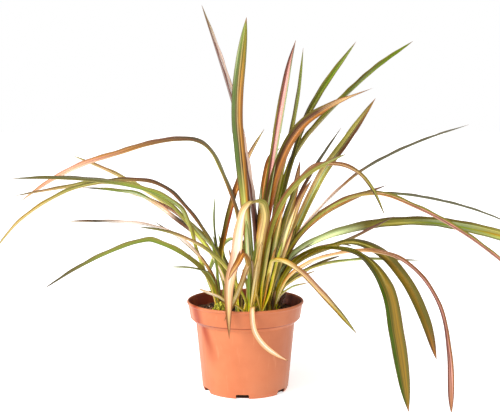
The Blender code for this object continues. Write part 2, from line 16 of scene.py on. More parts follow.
import bmesh
import bpy
import numpy as np
from mathutils.noise import fractal
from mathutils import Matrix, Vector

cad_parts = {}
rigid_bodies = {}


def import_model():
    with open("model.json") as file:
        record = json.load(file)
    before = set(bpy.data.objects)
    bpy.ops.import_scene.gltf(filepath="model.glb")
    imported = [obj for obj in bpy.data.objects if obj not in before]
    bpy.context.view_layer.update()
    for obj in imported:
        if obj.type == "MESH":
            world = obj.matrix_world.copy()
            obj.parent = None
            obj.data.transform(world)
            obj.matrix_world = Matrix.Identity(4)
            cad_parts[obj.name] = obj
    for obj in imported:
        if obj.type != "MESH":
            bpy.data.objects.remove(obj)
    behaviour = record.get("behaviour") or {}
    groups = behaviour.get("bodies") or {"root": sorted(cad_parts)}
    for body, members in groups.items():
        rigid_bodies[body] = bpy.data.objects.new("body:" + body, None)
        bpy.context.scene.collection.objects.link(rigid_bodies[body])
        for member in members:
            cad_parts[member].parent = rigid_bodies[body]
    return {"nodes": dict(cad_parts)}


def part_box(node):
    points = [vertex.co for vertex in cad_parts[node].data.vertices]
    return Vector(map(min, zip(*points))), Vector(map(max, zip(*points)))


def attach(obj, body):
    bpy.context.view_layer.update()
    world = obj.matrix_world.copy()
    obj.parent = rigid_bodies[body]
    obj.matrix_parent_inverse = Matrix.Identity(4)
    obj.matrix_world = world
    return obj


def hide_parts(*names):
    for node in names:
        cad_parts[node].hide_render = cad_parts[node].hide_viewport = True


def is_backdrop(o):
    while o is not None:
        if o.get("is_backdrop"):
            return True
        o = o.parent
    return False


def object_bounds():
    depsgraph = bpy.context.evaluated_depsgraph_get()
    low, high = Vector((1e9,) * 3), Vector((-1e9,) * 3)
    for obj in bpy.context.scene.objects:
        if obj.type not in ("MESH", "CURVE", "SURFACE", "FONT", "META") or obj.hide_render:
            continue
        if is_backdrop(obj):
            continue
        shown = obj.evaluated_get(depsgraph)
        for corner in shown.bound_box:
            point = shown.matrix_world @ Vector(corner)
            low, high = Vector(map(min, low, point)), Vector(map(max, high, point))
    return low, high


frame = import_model()
frame_box = [list(corner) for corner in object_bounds()]
print("frame:", len(frame["nodes"]), "nodes")

# %% [markdown]
# ## Units and the sizes that we share with the frame
#
# A leaf only fits its frame if both are worked out from the same numbers, so the pot, the soil and
# the leaves take theirs from here. We print two of them next to the box of the frame's own pot,
# because a copied number can go stale.

# %% Shared sizes
CM = 0.01
MM = 0.001

POT_HEIGHT = 148 * MM
RIM_RADIUS = 95 * MM
BAND_DEPTH = 28 * MM
BAND_FOOT_RADIUS = 90.5 * MM
SHOULDER_DEPTH = 8 * MM
BODY_TOP_RADIUS = 81.5 * MM
BASE_RADIUS = 70.2 * MM
LIP_BEAD = 1.2 * MM
LIP_DEPTH = 4 * MM
WALL = 1.8 * MM
FLOOR = 2.0 * MM
SOIL_TOP = 128 * MM

pot_low, pot_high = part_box("pot")
print("pot height in the frame:", round(pot_high[2] - pot_low[2], 4), "and here:", POT_HEIGHT)
rim_radius = (pot_high[0] - pot_low[0]) / 2
print("rim radius in the frame:", round(rim_radius, 4), "and here:", round(RIM_RADIUS + LIP_BEAD, 4))

# %% [markdown]
# ## Writing node trees by hand
#
# Materials and Geometry Nodes are both graphs. Adding each node, setting its values and linking its
# sockets takes three or four lines, so a small helper does it in one: an input can be a number, a
# colour or the output of another node, and the helper sets or links it as needed. Sums and products
# are so common that they get short names. A colour is written as it is read on a screen, 0 to 255,
# and turned into the linear light that shaders use.

# %% A helper for node trees
def srgb(red, green, blue):
    """A screen colour as a shader's linear colour."""
    channels = [value / 255 for value in (red, green, blue)]
    linear = [c / 12.92 if c <= 0.04045 else ((c + 0.055) / 1.055) ** 2.4 for c in channels]
    return (*linear, 1.0)


class Patch:
    """Adds nodes to a tree. An input is a number, a colour or another node's output."""

    def __init__(self, tree):
        self.tree = tree

    def plug(self, socket, value):
        if isinstance(value, bpy.types.NodeSocket):
            self.tree.links.new(value, socket)
        else:
            socket.default_value = value

    def node(self, kind, inputs=None, **settings):
        made = self.tree.nodes.new(kind)
        for name, value in settings.items():
            setattr(made, name, value)
        for key, value in (inputs or {}).items():
            self.plug(made.inputs[key], value)
        return made

    def math(self, operation, *values):
        return self.node("ShaderNodeMath", dict(enumerate(values)), operation=operation).outputs[0]

    def chain(self, operation, first, *others):
        """One operation on the first two values, then on the result and each further value."""
        for other in others:
            first = self.math(operation, first, other)
        return first

    def times(self, *values):
        return self.chain("MULTIPLY", *values)

    def plus(self, *values):
        return self.chain("ADD", *values)

    def minus(self, first, second):
        return self.math("SUBTRACT", first, second)

    def vector(self, operation, *values):
        keys = (0, 3) if operation == "SCALE" else range(len(values))
        made = self.node("ShaderNodeVectorMath", dict(zip(keys, values)), operation=operation)
        number = operation in ("DOT_PRODUCT", "LENGTH")
        return made.outputs["Value" if number else "Vector"]

    def combine(self, x, y, z):
        return self.node("ShaderNodeCombineXYZ", {0: x, 1: y, 2: z}).outputs[0]

    def mix(self, factor, first, second):
        made = self.node("ShaderNodeMix", {0: factor, 6: first, 7: second}, data_type="RGBA")
        return made.outputs[2]

    def step(self, value, low, high, to_low=0.0, to_high=1.0):
        """Rises smoothly from to_low to to_high while the value goes from low to high."""
        ends = {0: value, 1: low, 2: high, 3: to_low, 4: to_high}
        return self.node("ShaderNodeMapRange", ends, interpolation_type="SMOOTHSTEP").outputs[0]

    def noise(self, place, scale=1.0, detail=2.0, roughness=0.5):
        inputs = {"Vector": place, "Scale": scale, "Detail": detail, "Roughness": roughness}
        return self.node("ShaderNodeTexNoise", inputs).outputs[0]

    def attribute(self, name, output="Fac"):
        return self.node("ShaderNodeAttribute", attribute_name=name).outputs[output]

    def own_place(self):
        """Where a point is on its own object, in metres."""
        return self.node("ShaderNodeTexCoord").outputs["Object"]

    def bump(self, height, distance, strength=1.0):
        inputs = {"Strength": strength, "Distance": distance, "Height": height}
        return self.node("ShaderNodeBump", inputs).outputs[0]

    def finish(self, shader, colour, roughness, relief):
        """Plugs the three things that make a surface's look into its shader."""
        for socket, value in (("Base Color", colour), ("Roughness", roughness), ("Normal", relief)):
            self.plug(shader.inputs[socket], value)


def new_material(name, **values):
    """A Principled material with the given socket values, and a patch to wire it with."""
    material = bpy.data.materials.new(name)
    material.use_nodes = True
    shader = material.node_tree.nodes["Principled BSDF"]
    for socket, value in values.items():
        shader.inputs[socket.replace("_", " ")].default_value = value
    return material, shader, Patch(material.node_tree)


# %% [markdown]
# ## The colours of a striped flax
#
# Striped flaxes carry several colours in one blade: an olive or green ground, with bands of apricot,
# pink or cream that run along it, and a thin dark margin. The colours also change along the blade:
# pale where the leaf bases wrap round each other, clear in the middle, and bronze towards the tip.
#
# A picture would be the usual way to hold such stripes, but it would blur when seen close. Instead we
# name a few tints, and build stripe schemes from them, five tints from one margin to the other. A
# leaf then lists the schemes that it passes through from foot to tip, which is easy to read and edit.

# %% Tints and stripe schemes
TINTS = {
    "moss": srgb(120, 134, 38),
    "leaf green": srgb(100, 126, 32),
    "dark green": srgb(60, 78, 10),
    "lime": srgb(186, 190, 96),
    "chartreuse": srgb(184, 178, 50),
    "pale lime": srgb(232, 226, 116),
    "olive": srgb(132, 126, 52),
    "dark olive": srgb(92, 82, 26),
    "khaki": srgb(170, 160, 84),
    "ochre": srgb(166, 128, 42),
    "golden": srgb(218, 176, 72),
    "dull gold": srgb(118, 92, 28),
    "straw": srgb(226, 200, 132),
    "orange": srgb(218, 152, 78),
    "rust": srgb(166, 106, 52),
    "bronze": srgb(128, 84, 46),
    "umber": srgb(88, 56, 32),
    "chestnut": srgb(78, 40, 24),
    "maroon": srgb(98, 46, 34),
    "crimson": srgb(140, 46, 36),
    "soot": srgb(44, 26, 20),
    "tan": srgb(202, 160, 116),
    "cream": srgb(250, 232, 186),
    "mint": srgb(196, 208, 158),
    "peach": srgb(240, 186, 150),
    "blush": srgb(252, 222, 204),
    "white pink": srgb(255, 244, 238),
    "petal": srgb(220, 160, 150),
    "rose": srgb(206, 140, 122),
    "rosewood": srgb(124, 76, 66),
    "dusky rose": srgb(188, 138, 124),
    "sage": srgb(138, 146, 98),
    "slate": srgb(88, 84, 62),
}

SCHEMES = {
    "foot": ("khaki", "chartreuse", "pale lime", "golden", "bronze"),
    "pale foot": ("golden", "cream", "pale lime", "golden", "olive"),
    "base green": ("moss", "chartreuse", "pale lime", "moss", "olive"),
    "base gold": ("bronze", "golden", "straw", "golden", "olive"),
    "base olive": ("dark olive", "chartreuse", "golden", "chartreuse", "bronze"),
    "green": ("dark olive", "moss", "leaf green", "moss", "olive"),
    "bright green": ("moss", "leaf green", "moss", "leaf green", "lime"),
    "sage": ("olive", "sage", "moss", "sage", "dark olive"),
    "olive": ("dark olive", "olive", "khaki", "olive", "dark olive"),
    "dark olive": ("slate", "dark olive", "olive", "dark olive", "slate"),
    "khaki": ("olive", "khaki", "straw", "khaki", "olive"),
    "mint": ("moss", "mint", "cream", "mint", "moss"),
    "ochre": ("olive", "ochre", "ochre", "khaki", "dark olive"),
    "gold": ("olive", "orange", "straw", "orange", "ochre"),
    "straw": ("khaki", "straw", "cream", "straw", "ochre"),
    "cream": ("straw", "cream", "cream", "blush", "straw"),
    "tan": ("rust", "tan", "straw", "tan", "bronze"),
    "rust": ("bronze", "rust", "orange", "rust", "bronze"),
    "bronze": ("maroon", "bronze", "rust", "bronze", "maroon"),
    "maroon": ("soot", "maroon", "bronze", "maroon", "soot"),
    "soot": ("soot", "soot", "maroon", "soot", "soot"),
    "peach": ("tan", "peach", "blush", "peach", "rose"),
    "blush": ("peach", "blush", "cream", "blush", "peach"),
    "rose": ("bronze", "rose", "peach", "rose", "rust"),
    "shell pink": ("tan", "peach", "blush", "peach", "tan"),
    "slate": ("slate", "slate", "dark olive", "slate", "slate"),
    "sunset": ("dark green", "dark green", "umber", "orange", "rust"),
    "sunset low": ("bronze", "olive", "lime", "orange", "maroon"),
    "sunset high": ("sage", "dark green", "dark olive", "ochre", "olive"),
    "mint low": ("bronze", "maroon", "mint", "mint", "moss"),
    "shell": ("blush", "white pink", "white pink", "white pink", "maroon"),
    "white": ("blush", "white pink", "white pink", "white pink", "blush"),
    "wine": ("soot", "maroon", "maroon", "maroon", "soot"),
    "pink stripe": ("sage", "petal", "petal", "rosewood", "olive"),
    "rosy": ("sage", "petal", "petal", "rosewood", "umber"),
    "rosewood": ("rosewood", "dusky rose", "rosewood", "dusky rose", "bronze"),
    "ember": ("bronze", "rust", "bronze", "umber", "dark olive"),
    "ember low": ("maroon", "crimson", "bronze", "olive", "dark olive"),
    "cream stripe": ("bronze", "khaki", "straw", "cream", "sage"),
    "dark edge": ("umber", "umber", "dark olive", "khaki", "olive"),
    "thatch": ("lime", "khaki", "olive", "olive", "bronze"),
    "pale mint": ("sage", "mint", "mint", "mint", "sage"),
    "umber": ("dark olive", "slate", "dark olive", "dark olive", "dark olive"),
    "lime edge": ("khaki", "lime", "mint", "straw", "tan"),
    "green edge": ("dark green", "dark olive", "dull gold", "dull gold", "dark olive"),
    "lime stripe": ("sage", "lime", "ochre", "khaki", "olive"),
    "pink edge": ("rust", "orange", "peach", "peach", "olive"),
    "shell cream": ("tan", "cream", "cream", "blush", "tan"),
    "rose edge": ("rosewood", "rose", "peach", "rose", "olive"),
    "two tone": ("dark olive", "olive", "khaki", "lime", "khaki"),
    "two brown": ("bronze", "ochre", "dark olive", "maroon", "soot"),
    "ochre brown": ("dark olive", "dull gold", "dull gold", "dark olive", "dark olive"),
    "dry": ("rust", "tan", "peach", "tan", "bronze"),
}
print("tints:", len(TINTS), "schemes:", len(SCHEMES))

# %% [markdown]
# ## Ten fans of leaves
#
# Flax grows in fans: flat shoots whose leaves stand in one plane like a hand of cards. This plant has
# ten of them, crowded on a small patch of soil. The table says where each fan is rooted and gives
# each of its leaves a heading in degrees from +X towards +Y, a path in centimetres, a width in
# millimetres, the fold and the twist in degrees at even places from foot to tip, and the schemes
# that it passes through.
#
# A path point is (reach, height), and a third number, where there is one, moves it sideways. After
# a bar comes the tint of the leaf's back, where that differs, and a last number tells how abruptly
# the leaf tapers. A fan may end with the width of its sheath, where that is slimmer than usual.
#
# Three of the fans also have a side shoot, a small fan of its own that stands close by. A second
# table lists these, and each of them later belongs to the same piece as the fan that it stands by.
# The shortest and darkest leaves of fan_right_front are the stubs of old ones that were cut off.

# %% The table of fans
TAPER = 4
Leaf = namedtuple("Leaf", "heading path width fold turn looks taper", defaults=(TAPER,))
SHEATH_WIDTH = 16
Fan = namedtuple("Fan", "root leaves sheath", defaults=(SHEATH_WIDTH,))

FANS = {
    "fan_left_outer": Fan((-4, -2.6), [
        Leaf(188, [(2.2, 18.9), (4, 23.9), (5.2, 28.1), (6.2, 30.1), (8.2, 31.8), (12.8, 33.7),
                   (19.4, 34.9), (25.8, 35.4), (32.9, 35.4)], 17, (110, 100, 90), (0, 20, 25),
             "dark olive > green > two tone > olive > sage > green > green > dark olive > "
             "dark olive > ochre brown > slate"),
        Leaf(204, [(1.4, 17.8), (4, 21.3), (7.2, 23.7), (10.2, 25.2), (12, 25.8), (13.6, 25.7),
                   (17.5, 24.7), (23.8, 22.1), (28.8, 19.3)], 18, (60, 100), (0, 20, 15),
             "base olive > umber > umber > green > green > green > umber > soot"),
        Leaf(198, [(1.6, 19.6), (5, 24.3), (8, 26.6), (11.8, 28), (17.8, 28.8), (24.8, 29.1)],
             12, (60, 80), (0, 0, 0),
             "tan > tan > tan > white > white > white > soot > tan"),
        Leaf(193, [(1.4, 19.4), (5.8, 24.8), (11.1, 28.7)], 7, (60, 80), (0, 0, 0),
             "olive > slate > bronze > slate"),
        Leaf(216, [(1.3, 18.4), (2.3, 19.9), (4.4, 20.8), (9.8, 21.7)], 7, (60, 80), (0, 0, 0),
             "base gold > sage > sage > mint"),
        Leaf(202, [(1, 18.9), (3.6, 23.1)], 5, (60, 80), (0, 0, 0), "foot > tan > maroon"),
        Leaf(200, [(1.6, 17.5), (3.2, 20.5), (5.4, 23.2)], 6, (60, 80), (0, 0, 0),
             "base gold > tan > slate"),
    ], 9),
    "fan_left": Fan((-2.8, -0.4), [
        Leaf(182, [(0.4, 18.9), (3, 24.8), (5.2, 28.2), (7.5, 31), (9.4, 32.9), (11.6, 34.1),
                   (16.6, 34.7), (21, 34.2), (25, 33.3), (29, 31.4), (33.6, 28.2), (38.8, 22.3)],
             15, (60, 110), (0, 20, 20),
             "olive > olive > dark olive > maroon > maroon > bronze > ochre > khaki > straw > "
             "straw > khaki"),
        Leaf(176, [(1, 19.8), (3.4, 23.4), (6.3, 27), (9.2, 30.3), (12, 32.3), (16.3, 33.6), (21, 34.1),
                   (28, 33.1), (35.9, 31.7)], 15, (60, 90), (0, 30, 10),
             "pale foot > olive > two tone > olive > green > green > khaki > tan > slate"),
        Leaf(170, [(1.1, 19.4), (3, 22.8), (5.6, 25.6), (8.7, 27.9), (11.8, 30.2), (14.8, 31.9),
                   (19.6, 32.7), (25, 33)], 16, (60, 90), (0, 40, 0),
             "khaki > khaki > cream > cream > cream > blush > blush > wine > wine > blush > "
             "shell pink > mint > mint > green > green > soot > soot"),
        Leaf(166, [(1.4, 19.7), (4.1, 24), (7, 27.4), (10, 29.6), (13.3, 31.1), (17, 31.9)],
             13, (60, 90), (0, 20, 0),
             "olive > khaki > cream > peach > cream"),
        Leaf(150, [(1.2, 18.7), (2.4, 24.1), (2.8, 27.9), (2.5, 32.2)], 7, (60, 80), (0, 0, 0),
             "olive > maroon > maroon > mint > mint"),
        Leaf(165, [(1, 18), (2.6, 21.8), (5.2, 25)], 6, (60, 80), (0, 0, 0), "foot > olive > bronze"),
    ], 12),
    "fan_back_left": Fan((-2.4, 2.6), [
        Leaf(161, [(-0.4, 19), (-1.4, 24.4), (-0.9, 29.4), (0.3, 32.7), (1.9, 36.3), (3.6, 39.2),
                   (4.8, 40.2), (6.3, 40.8), (9.5, 40.9), (15, 40), (20.5, 38.4), (27.5, 36.3),
                   (34.1, 33.2), (40.4, 29.3)], 17, (90, 100, 110), (60, 40, 30, 42, 40),
             "olive > dark olive > dark olive > maroon > dark olive > two brown > bronze > rust > "
             "rose > peach > rose > tan"),
        Leaf(153, [(0.8, 20), (5, 24.4), (10, 28.2), (16, 31.5), (22.2, 34.2), (32.4, 37.6)],
             18, (60, 110), (0, 30, 40),
             "foot > olive > sage > khaki > khaki > tan > ochre"),
        Leaf(18, [(-1.2, 17.4), (-1.8, 20.4), (-1.6, 22.9), (-1, 25.7), (1.2, 33.5), (3.1, 38.1),
                  (5.8, 42.7)], 15, (80, 100), (60, 50, 20),
             "ochre > base olive > thatch > ember > ember low > rust > rust > tan > khaki"),
    ]),
    "fan_front": Fan((0.8, -4.4), [
        Leaf(210, [(-0.5, 20, 0.9), (-1.2, 26.2, 1.5), (-1.5, 30, 1.9), (-0.9, 31.4, 2.1),
                   (0.7, 31.7, 2.1), (2, 30.8, 2.1), (3.2, 28.2, 2.5), (4.15, 24.1, 2.8),
                   (5.7, 18.9, 3.3), (6, 14.5, 3.7), (6, 10.8, 3.9)],
             19, (80, 110, 130, 110, 120, 120, 100), (50, 60, 60, 0, -65, -65, -60),
             "base gold > straw > straw > tan > khaki > shell pink > blush > shell pink > tan > "
             "bronze"),
        Leaf(228, [(0.2, 18, 0.3), (0.5, 21, 0.7), (1.1, 22.2, 1), (2.2, 21.3, 1.3), (3.7, 19.2, 1.6),
                   (5.7, 16.4, 1.7), (7.2, 13.6, 1.1)], 12, (60, 110), (30, 10, -40, -50),
             "olive > gold > cream > tan > straw > bronze"),
        Leaf(225, [(0.9, 19, 0.7), (2.3, 22.6, 1.6), (3.75, 24, 2.3), (5.3, 22.6, 2.6),
                   (6.4, 21.2, 2.4), (7.1, 20, 2.3)], 14, (60, 120), (30, 20, -30, -55),
             "base olive > base olive > khaki > rust > rust > tan"),
        Leaf(-47, [(2.2, 18, 1.5), (3.6, 21.3, 1.2), (5, 22.6, 0.3), (7.2, 22.8), (11.1, 21.6),
                   (15.2, 19.1), (22.6, 14)], 15, (60, 110), (0, 20, 20),
             "foot > two tone > straw > straw > tan > tan > ochre > olive"),
        Leaf(-90, [(1.6, 14.7, 0.9), (3.6, 15.2, 0.5), (5.2, 15.25, 0.3), (6.1, 14.2, 0.3),
                   (6.4, 12, 0.7), (6.6, 10, 2), (6.7, 8.3, 4.2), (6.7, 7.4, 5.9)],
             10, (90, 130), (0, 0, 0),
             "base gold > straw > shell pink > shell pink > shell pink > dry"),
        Leaf(190, [(0.8, 15.6), (2.2, 18.2), (4, 21.1), (6.8, 23.8), (9.7, 25.6), (13.6, 27.1),
                   (18, 27.9)], 12, (60, 100), (0, 20, 20),
             "olive > olive > khaki > olive > tan > olive > dark olive"),
        Leaf(188, [(2, 14.6), (3.9, 15.5), (5.2, 16.3), (6.7, 16.9), (8.4, 17.7)],
             11, (60, 120), (0, 20, 40),
             "khaki > straw > straw > cream > tan"),
        Leaf(180, [(0.1, 18), (0.3, 23), (0.6, 28.4)], 13, (70, 100), (80, 90, 90),
             "bright green > mint > mint > bright green"),
        Leaf(-90, [(1.4, 16.5, -0.1), (2.1, 20.6, -0.1)], 11, (50, 90), (0, 10),
             "base green > bright green > bright green"),
        Leaf(-90, [(1.5, 16.4, 0.7), (2.3, 21, 1.1), (2.4, 25.4, 1.8)], 11, (50, 90), (0, 30),
             "base gold > base gold > gold > tan"),
        Leaf(-94, [(1.8, 16, 0.4), (2.7, 19.4, 0.9), (2.8, 22.6, 1.4)], 8, (50, 90), (0, 20),
             "base gold > straw > tan"),
    ]),
    "fan_centre": Fan((1.2, -1.2), [
        Leaf(185, [(0.3, 19.9), (0.8, 25.7), (1.3, 31.4), (2.1, 39.5), (2.5, 44.3), (2.4, 49.1),
                   (1.9, 53.9), (1, 60.6)], 22, (80, 130), (80, 90, 80),
             "foot > mint low > mint low > sunset low > sunset > sunset > sunset > sunset high > "
             "green", 5),
        Leaf(-12, [(1.5, 19.1), (2.5, 24.1), (4, 29.1), (6.1, 32.8), (9, 35.7), (12.5, 37.8),
                   (15.2, 39.1)], 18, (60, 110), (50, 60, 40),
             "foot > thatch > thatch > thatch > thatch > thatch > sage"),
        Leaf(-5, [(2.9, 20), (4.5, 25.8), (6.4, 31.5), (8, 35.1), (9.8, 36.8), (12.2, 37.3), (14.9, 37),
                  (17, 35.9), (19, 33.6), (21.4, 28.9)], 15, (60, 90, 90, 130), (30, 40, 20, 40),
             "foot > ochre > olive > olive > ochre > tan > dry > dark edge > dark edge"),
        Leaf(6, [(1.5, 18.2), (2.6, 23.2), (4.4, 28.9), (5.9, 33)], 16, (60, 110), (50, 60, 60),
             "foot > gold > ochre > rust > bronze"),
        Leaf(3, [(0.8, 18), (1.4, 22.5), (2, 26), (2.7, 29.6)], 16, (60, 110), (60, 70, 70),
             "pale foot > gold > gold > ochre"),
        Leaf(10, [(0.4, 18), (0.9, 22.8), (1.3, 27), (1.4, 31)], 16, (60, 110), (70, 80, 80),
             "pale foot > gold > straw > gold > olive"),
    ]),
    "fan_middle": Fan((2.2, 1.4), [
        Leaf(172, [(0.3, 22), (1.1, 31.1), (2.3, 38.5), (3.8, 45.6), (5.4, 51.1), (7.4, 57.2),
                   (9.4, 62.9)], 21, (60, 90), (-14, -14, -14),
             "foot > bronze > maroon > shell > shell > shell > shell > khaki | chestnut"),
        Leaf(10, [(0.1, 20.8), (1.3, 31.1), (2.3, 37.7), (3.2, 43.4), (4.2, 49.1), (5.2, 54),
                  (6.1, 57.2)], 16, (70, 130), (80, 80, 70),
             "mint > pink stripe > pink stripe > pink stripe > pink stripe > pink stripe > rosy > "
             "maroon"),
        Leaf(4, [(0.6, 22.8), (1.6, 30.3), (3.3, 36.9), (5.1, 40.8), (7.3, 43.6), (10.4, 45.8),
                 (13.3, 47.3), (18.8, 49.5)], 22, (70, 80, 90, 100, 120, 160), (70, 80, 90, 80, 45, 0),
             "foot > ember low > ember low > ember low > ember > ember > ember > ember > tan > "
             "bronze", 3),
        Leaf(22, [(2.4, 16.8), (3.9, 20.6), (6.8, 26.2), (9.3, 31.1), (12.1, 35.8), (15.5, 39.9),
                  (21.6, 47.8)], 20, (70, 120), (60, 60, 40),
             "foot > lime edge > lime edge > lime edge > lime edge > dark edge > dark edge > "
             "two brown"),
        Leaf(24, [(2.5, 17.6), (3.7, 22.6), (5.2, 27.6), (6.7, 32.5), (7.6, 37.5)],
             16, (60, 110), (40, 50, 50),
             "foot > straw > cream stripe > khaki > tan > bronze"),
        Leaf(17, [(1.9, 16.9), (3.6, 21), (5.9, 27.3), (7.7, 31.8), (9.4, 34.4)],
             15, (60, 100), (40, 50, 40),
             "foot > khaki > mint > tan > bronze"),
        Leaf(30, [(1.2, 19), (2.4, 24.5), (3.2, 29.5)], 15, (60, 100), (60, 70, 70),
             "foot > mint > khaki > tan"),
    ]),
    "fan_right_front": Fan((4.2, -2.8), [
        Leaf(-16, [(2, 17.6), (4.4, 19.8), (7.7, 21.3), (13.4, 22.5), (24.2, 22.9)],
             11, (60, 90), (0, 0, 0),
             "two tone > olive > khaki > mint > green > dark olive"),
        Leaf(-36, [(3.4, 19.5), (6.6, 21.9), (11.5, 23.8), (18.7, 25), (23, 24.3), (26.5, 22.1),
                   (29.5, 18.1), (31.2, 11.6), (31.8, 2.4)],
             13, (60, 60, 60, 50, 60, 140), (0, 0, 10, 30, 50, 80),
             "mint > tan > shell pink > shell pink > dry > rosewood > rosewood > rosewood > "
             "rosewood > bronze", 12),
        Leaf(-29, [(2.6, 19.4), (5.4, 22.3), (9.3, 24.4), (14.5, 25.8), (18.6, 24.6), (22.6, 20.9),
                   (26, 14.9), (27.9, 9)], 19, (30, 28, 36, 110, 130, 130), (90, 90, 80, 60, 60, 60),
             "foot > straw > ochre > khaki > dark olive > ochre brown > ochre brown > ochre brown > "
             "bronze", 6),
        Leaf(-43, [(2.6, 19.2), (5.2, 22.3), (9.2, 24.6), (14.2, 25.3), (17.5, 24.9), (20.4, 23.2),
                   (22.7, 20.3), (24.5, 13.8), (26.8, 2.5)],
             25, (30, 24, 24, 26, 40, 110, 130, 130, 130), (90, 90, 90, 90, 80, 60, 60, 60, 60),
             "foot > khaki > olive > two tone > dark olive > green edge > green edge > green edge > "
             "green edge", 6),
        Leaf(-12, [(2.2, 17.6), (4.7, 19.6), (7.9, 21.6), (11.4, 23)], 12, (60, 90), (0, 20, 0),
             "foot > olive > bronze > ochre > maroon"),
        Leaf(-25, [(1.5, 16), (3.4, 17.6), (6.6, 18.7)], 8, (60, 90), (0, 0, 0),
             "foot > straw > mint > tan"),
        Leaf(-18, [(1.6, 17.4), (4.2, 20.2), (8.5, 22.9)], 9, (60, 90), (0, 0, 0),
             "foot > shell cream > tan > bronze"),
        Leaf(-30, [(1.8, 17), (4.2, 19), (8.2, 20.9)], 8, (60, 90), (0, 0, 0),
             "bronze > ochre > straw > bronze"),
        Leaf(-60, [(0.8, 15), (1.4, 17.2)], 9, (60, 90), (20, 40), "soot > maroon > tan"),
        Leaf(-20, [(1.4, 14.8), (2.6, 16.6)], 9, (60, 90), (20, 40), "soot > maroon > soot"),
        Leaf(-110, [(0.6, 15), (0.8, 17.6)], 8, (60, 90), (20, 40), "wine > soot > straw"),
    ], 12),
    "fan_right": Fan((4.6, 0.4), [
        Leaf(16, [(1.9, 20.4), (4.6, 25.8), (7.8, 29.4), (11.6, 32.9), (15.2, 35.6), (20.6, 38.4),
                  (27.9, 41.2), (35.2, 43.3)], 11, (60, 80), (0, 0, 0),
             "foot > olive > wine > white > white > tan > slate > slate > slate > slate > slate"),
        Leaf(10, [(1.8, 20.4), (4.5, 25.2), (8.7, 28.8), (13, 31), (19.5, 33.5)],
             17, (60, 100), (0, 40, 0),
             "foot > khaki > tan > rust > gold > rust > maroon"),
        Leaf(19, [(1.9, 20.4), (4.4, 24.8), (7.6, 28.3), (12.8, 31), (20.3, 31.7), (30.9, 30.2),
                  (43.1, 26.4), (46.3, 25)], 12, (60, 90), (0, 0, 0),
             "foot > green > khaki > tan > green > slate > slate > slate > slate"),
        Leaf(-2, [(2, 22), (4.8, 26.2), (9, 29.9), (12.8, 31.8), (16.3, 32.4), (23.7, 30), (31, 26),
                  (40, 19.2), (43.2, 16.6)], 16, (60, 100), (0, 20, 20),
             "foot > olive > ochre > thatch > pink edge > rose edge > rose edge > rose edge > "
             "rosewood", 6),
        Leaf(5, [(1.6, 20.1), (3.9, 22.6), (6.9, 24.2), (10.2, 25.5), (14.6, 26.6), (20.5, 27.3),
                 (26, 27.3), (32.2, 26.4), (38, 25), (43.5, 23.3)],
             23, (60, 110, 150), (0, 25, 50, 40, 55, 75),
             "khaki > pale mint > pale mint > pale mint > umber > olive > sage > sage > "
             "lime stripe > lime stripe", 9),
        Leaf(-9, [(1.9, 19), (4.4, 21.2), (10.9, 24.2), (15.6, 26.7), (19.7, 29)],
             12, (60, 90), (0, 20, 0),
             "foot > ochre > olive > ochre > bronze > soot"),
        Leaf(0, [(2, 19.8), (4.5, 22), (8.6, 23.6), (11.2, 24), (13.4, 23.5)], 12, (60, 90), (0, 20, 0),
             "foot > olive > bronze > olive"),
        Leaf(13, [(1.2, 18.4), (2.6, 22.9), (4, 27)], 14, (60, 90), (50, 60, 60),
             "foot > pale foot > khaki > olive"),
        Leaf(8, [(1.4, 18.5), (3.6, 21.9), (7.4, 24.6)], 8, (60, 90), (0, 0, 0),
             "foot > tan > white > maroon"),
    ]),
    "fan_back": Fan((3.4, 3.9), [
        Leaf(26, [(0.5, 19), (1, 23.5), (1.9, 30), (3.6, 37.5), (5.1, 43.3), (6.2, 48.9), (7, 56.2)],
             12, (60, 90), (40, 40, 30),
             "foot > olive > khaki > khaki > olive > sage > green"),
        Leaf(36, [(1.2, 19), (2.2, 24.8), (3.6, 30.7), (6.4, 39.1), (8.6, 44.3), (11.2, 48.1),
                  (19.8, 57.7)], 17, (30, 40, 80, 110), (0, 0, 30, 40, 30),
             "foot > straw > khaki > dark olive > dark olive > green > sage"),
        Leaf(42, [(1.3, 19), (2.2, 24.8), (3.4, 30.7), (5.7, 36.6), (9.2, 40.8), (14.1, 44.7),
                  (20.6, 49.1), (27.3, 53.2), (38.1, 58.6)],
             18, (40, 40, 50, 80, 110), (0, 0, 0, 20, 35),
             "foot > khaki > mint > khaki > ochre > green > sage > green > green"),
        Leaf(26, [(1.4, 18), (2.4, 21), (3.9, 25.8), (6.5, 31.4), (9.6, 36.2), (14.5, 42.7)],
             11, (60, 90), (20, 20, 10),
             "olive > slate > maroon > bronze > slate > slate"),
        Leaf(160, [(0.5, 20), (0.7, 24), (1, 28.3), (0.8, 33.5)], 10, (60, 90), (60, 60, 60),
             "mint > mint > mint > sage"),
    ]),
    "fan_rear": Fan((2, 6), [
        Leaf(78, [(1.5, 22), (4.2, 29), (9, 33), (17, 31.5), (24, 25)], 15, (60, 120), (0, 10, 20),
             "foot > green > green > olive"),
        Leaf(97, [(1.2, 21), (3.8, 27), (9, 30.6), (16, 30), (24, 24)], 15, (60, 120), (0, -10, -20),
             "foot > olive > two tone > olive"),
        Leaf(68, [(0.8, 24), (2.6, 32), (6, 37.4), (11, 39)], 13, (60, 120), (0, 10, 10),
             "foot > bronze > rust > bronze"),
        Leaf(52, [(2, 20), (5.5, 24), (9.5, 25.4), (12.5, 24.5)], 13, (60, 120), (0, 10, 20),
             "foot > olive > khaki > olive"),
        Leaf(120, [(1, 18), (3.5, 21.6), (8, 23), (14, 20), (19, 14)], 13, (60, 120), (0, 10, 20),
             "foot > green > bright green > green"),
        Leaf(88, [(1, 17), (4, 20), (9, 20.6), (15, 17), (18.6, 12)], 11, (60, 120), (0, 0, 0),
             "foot > tan > peach > tan"),
    ]),
}

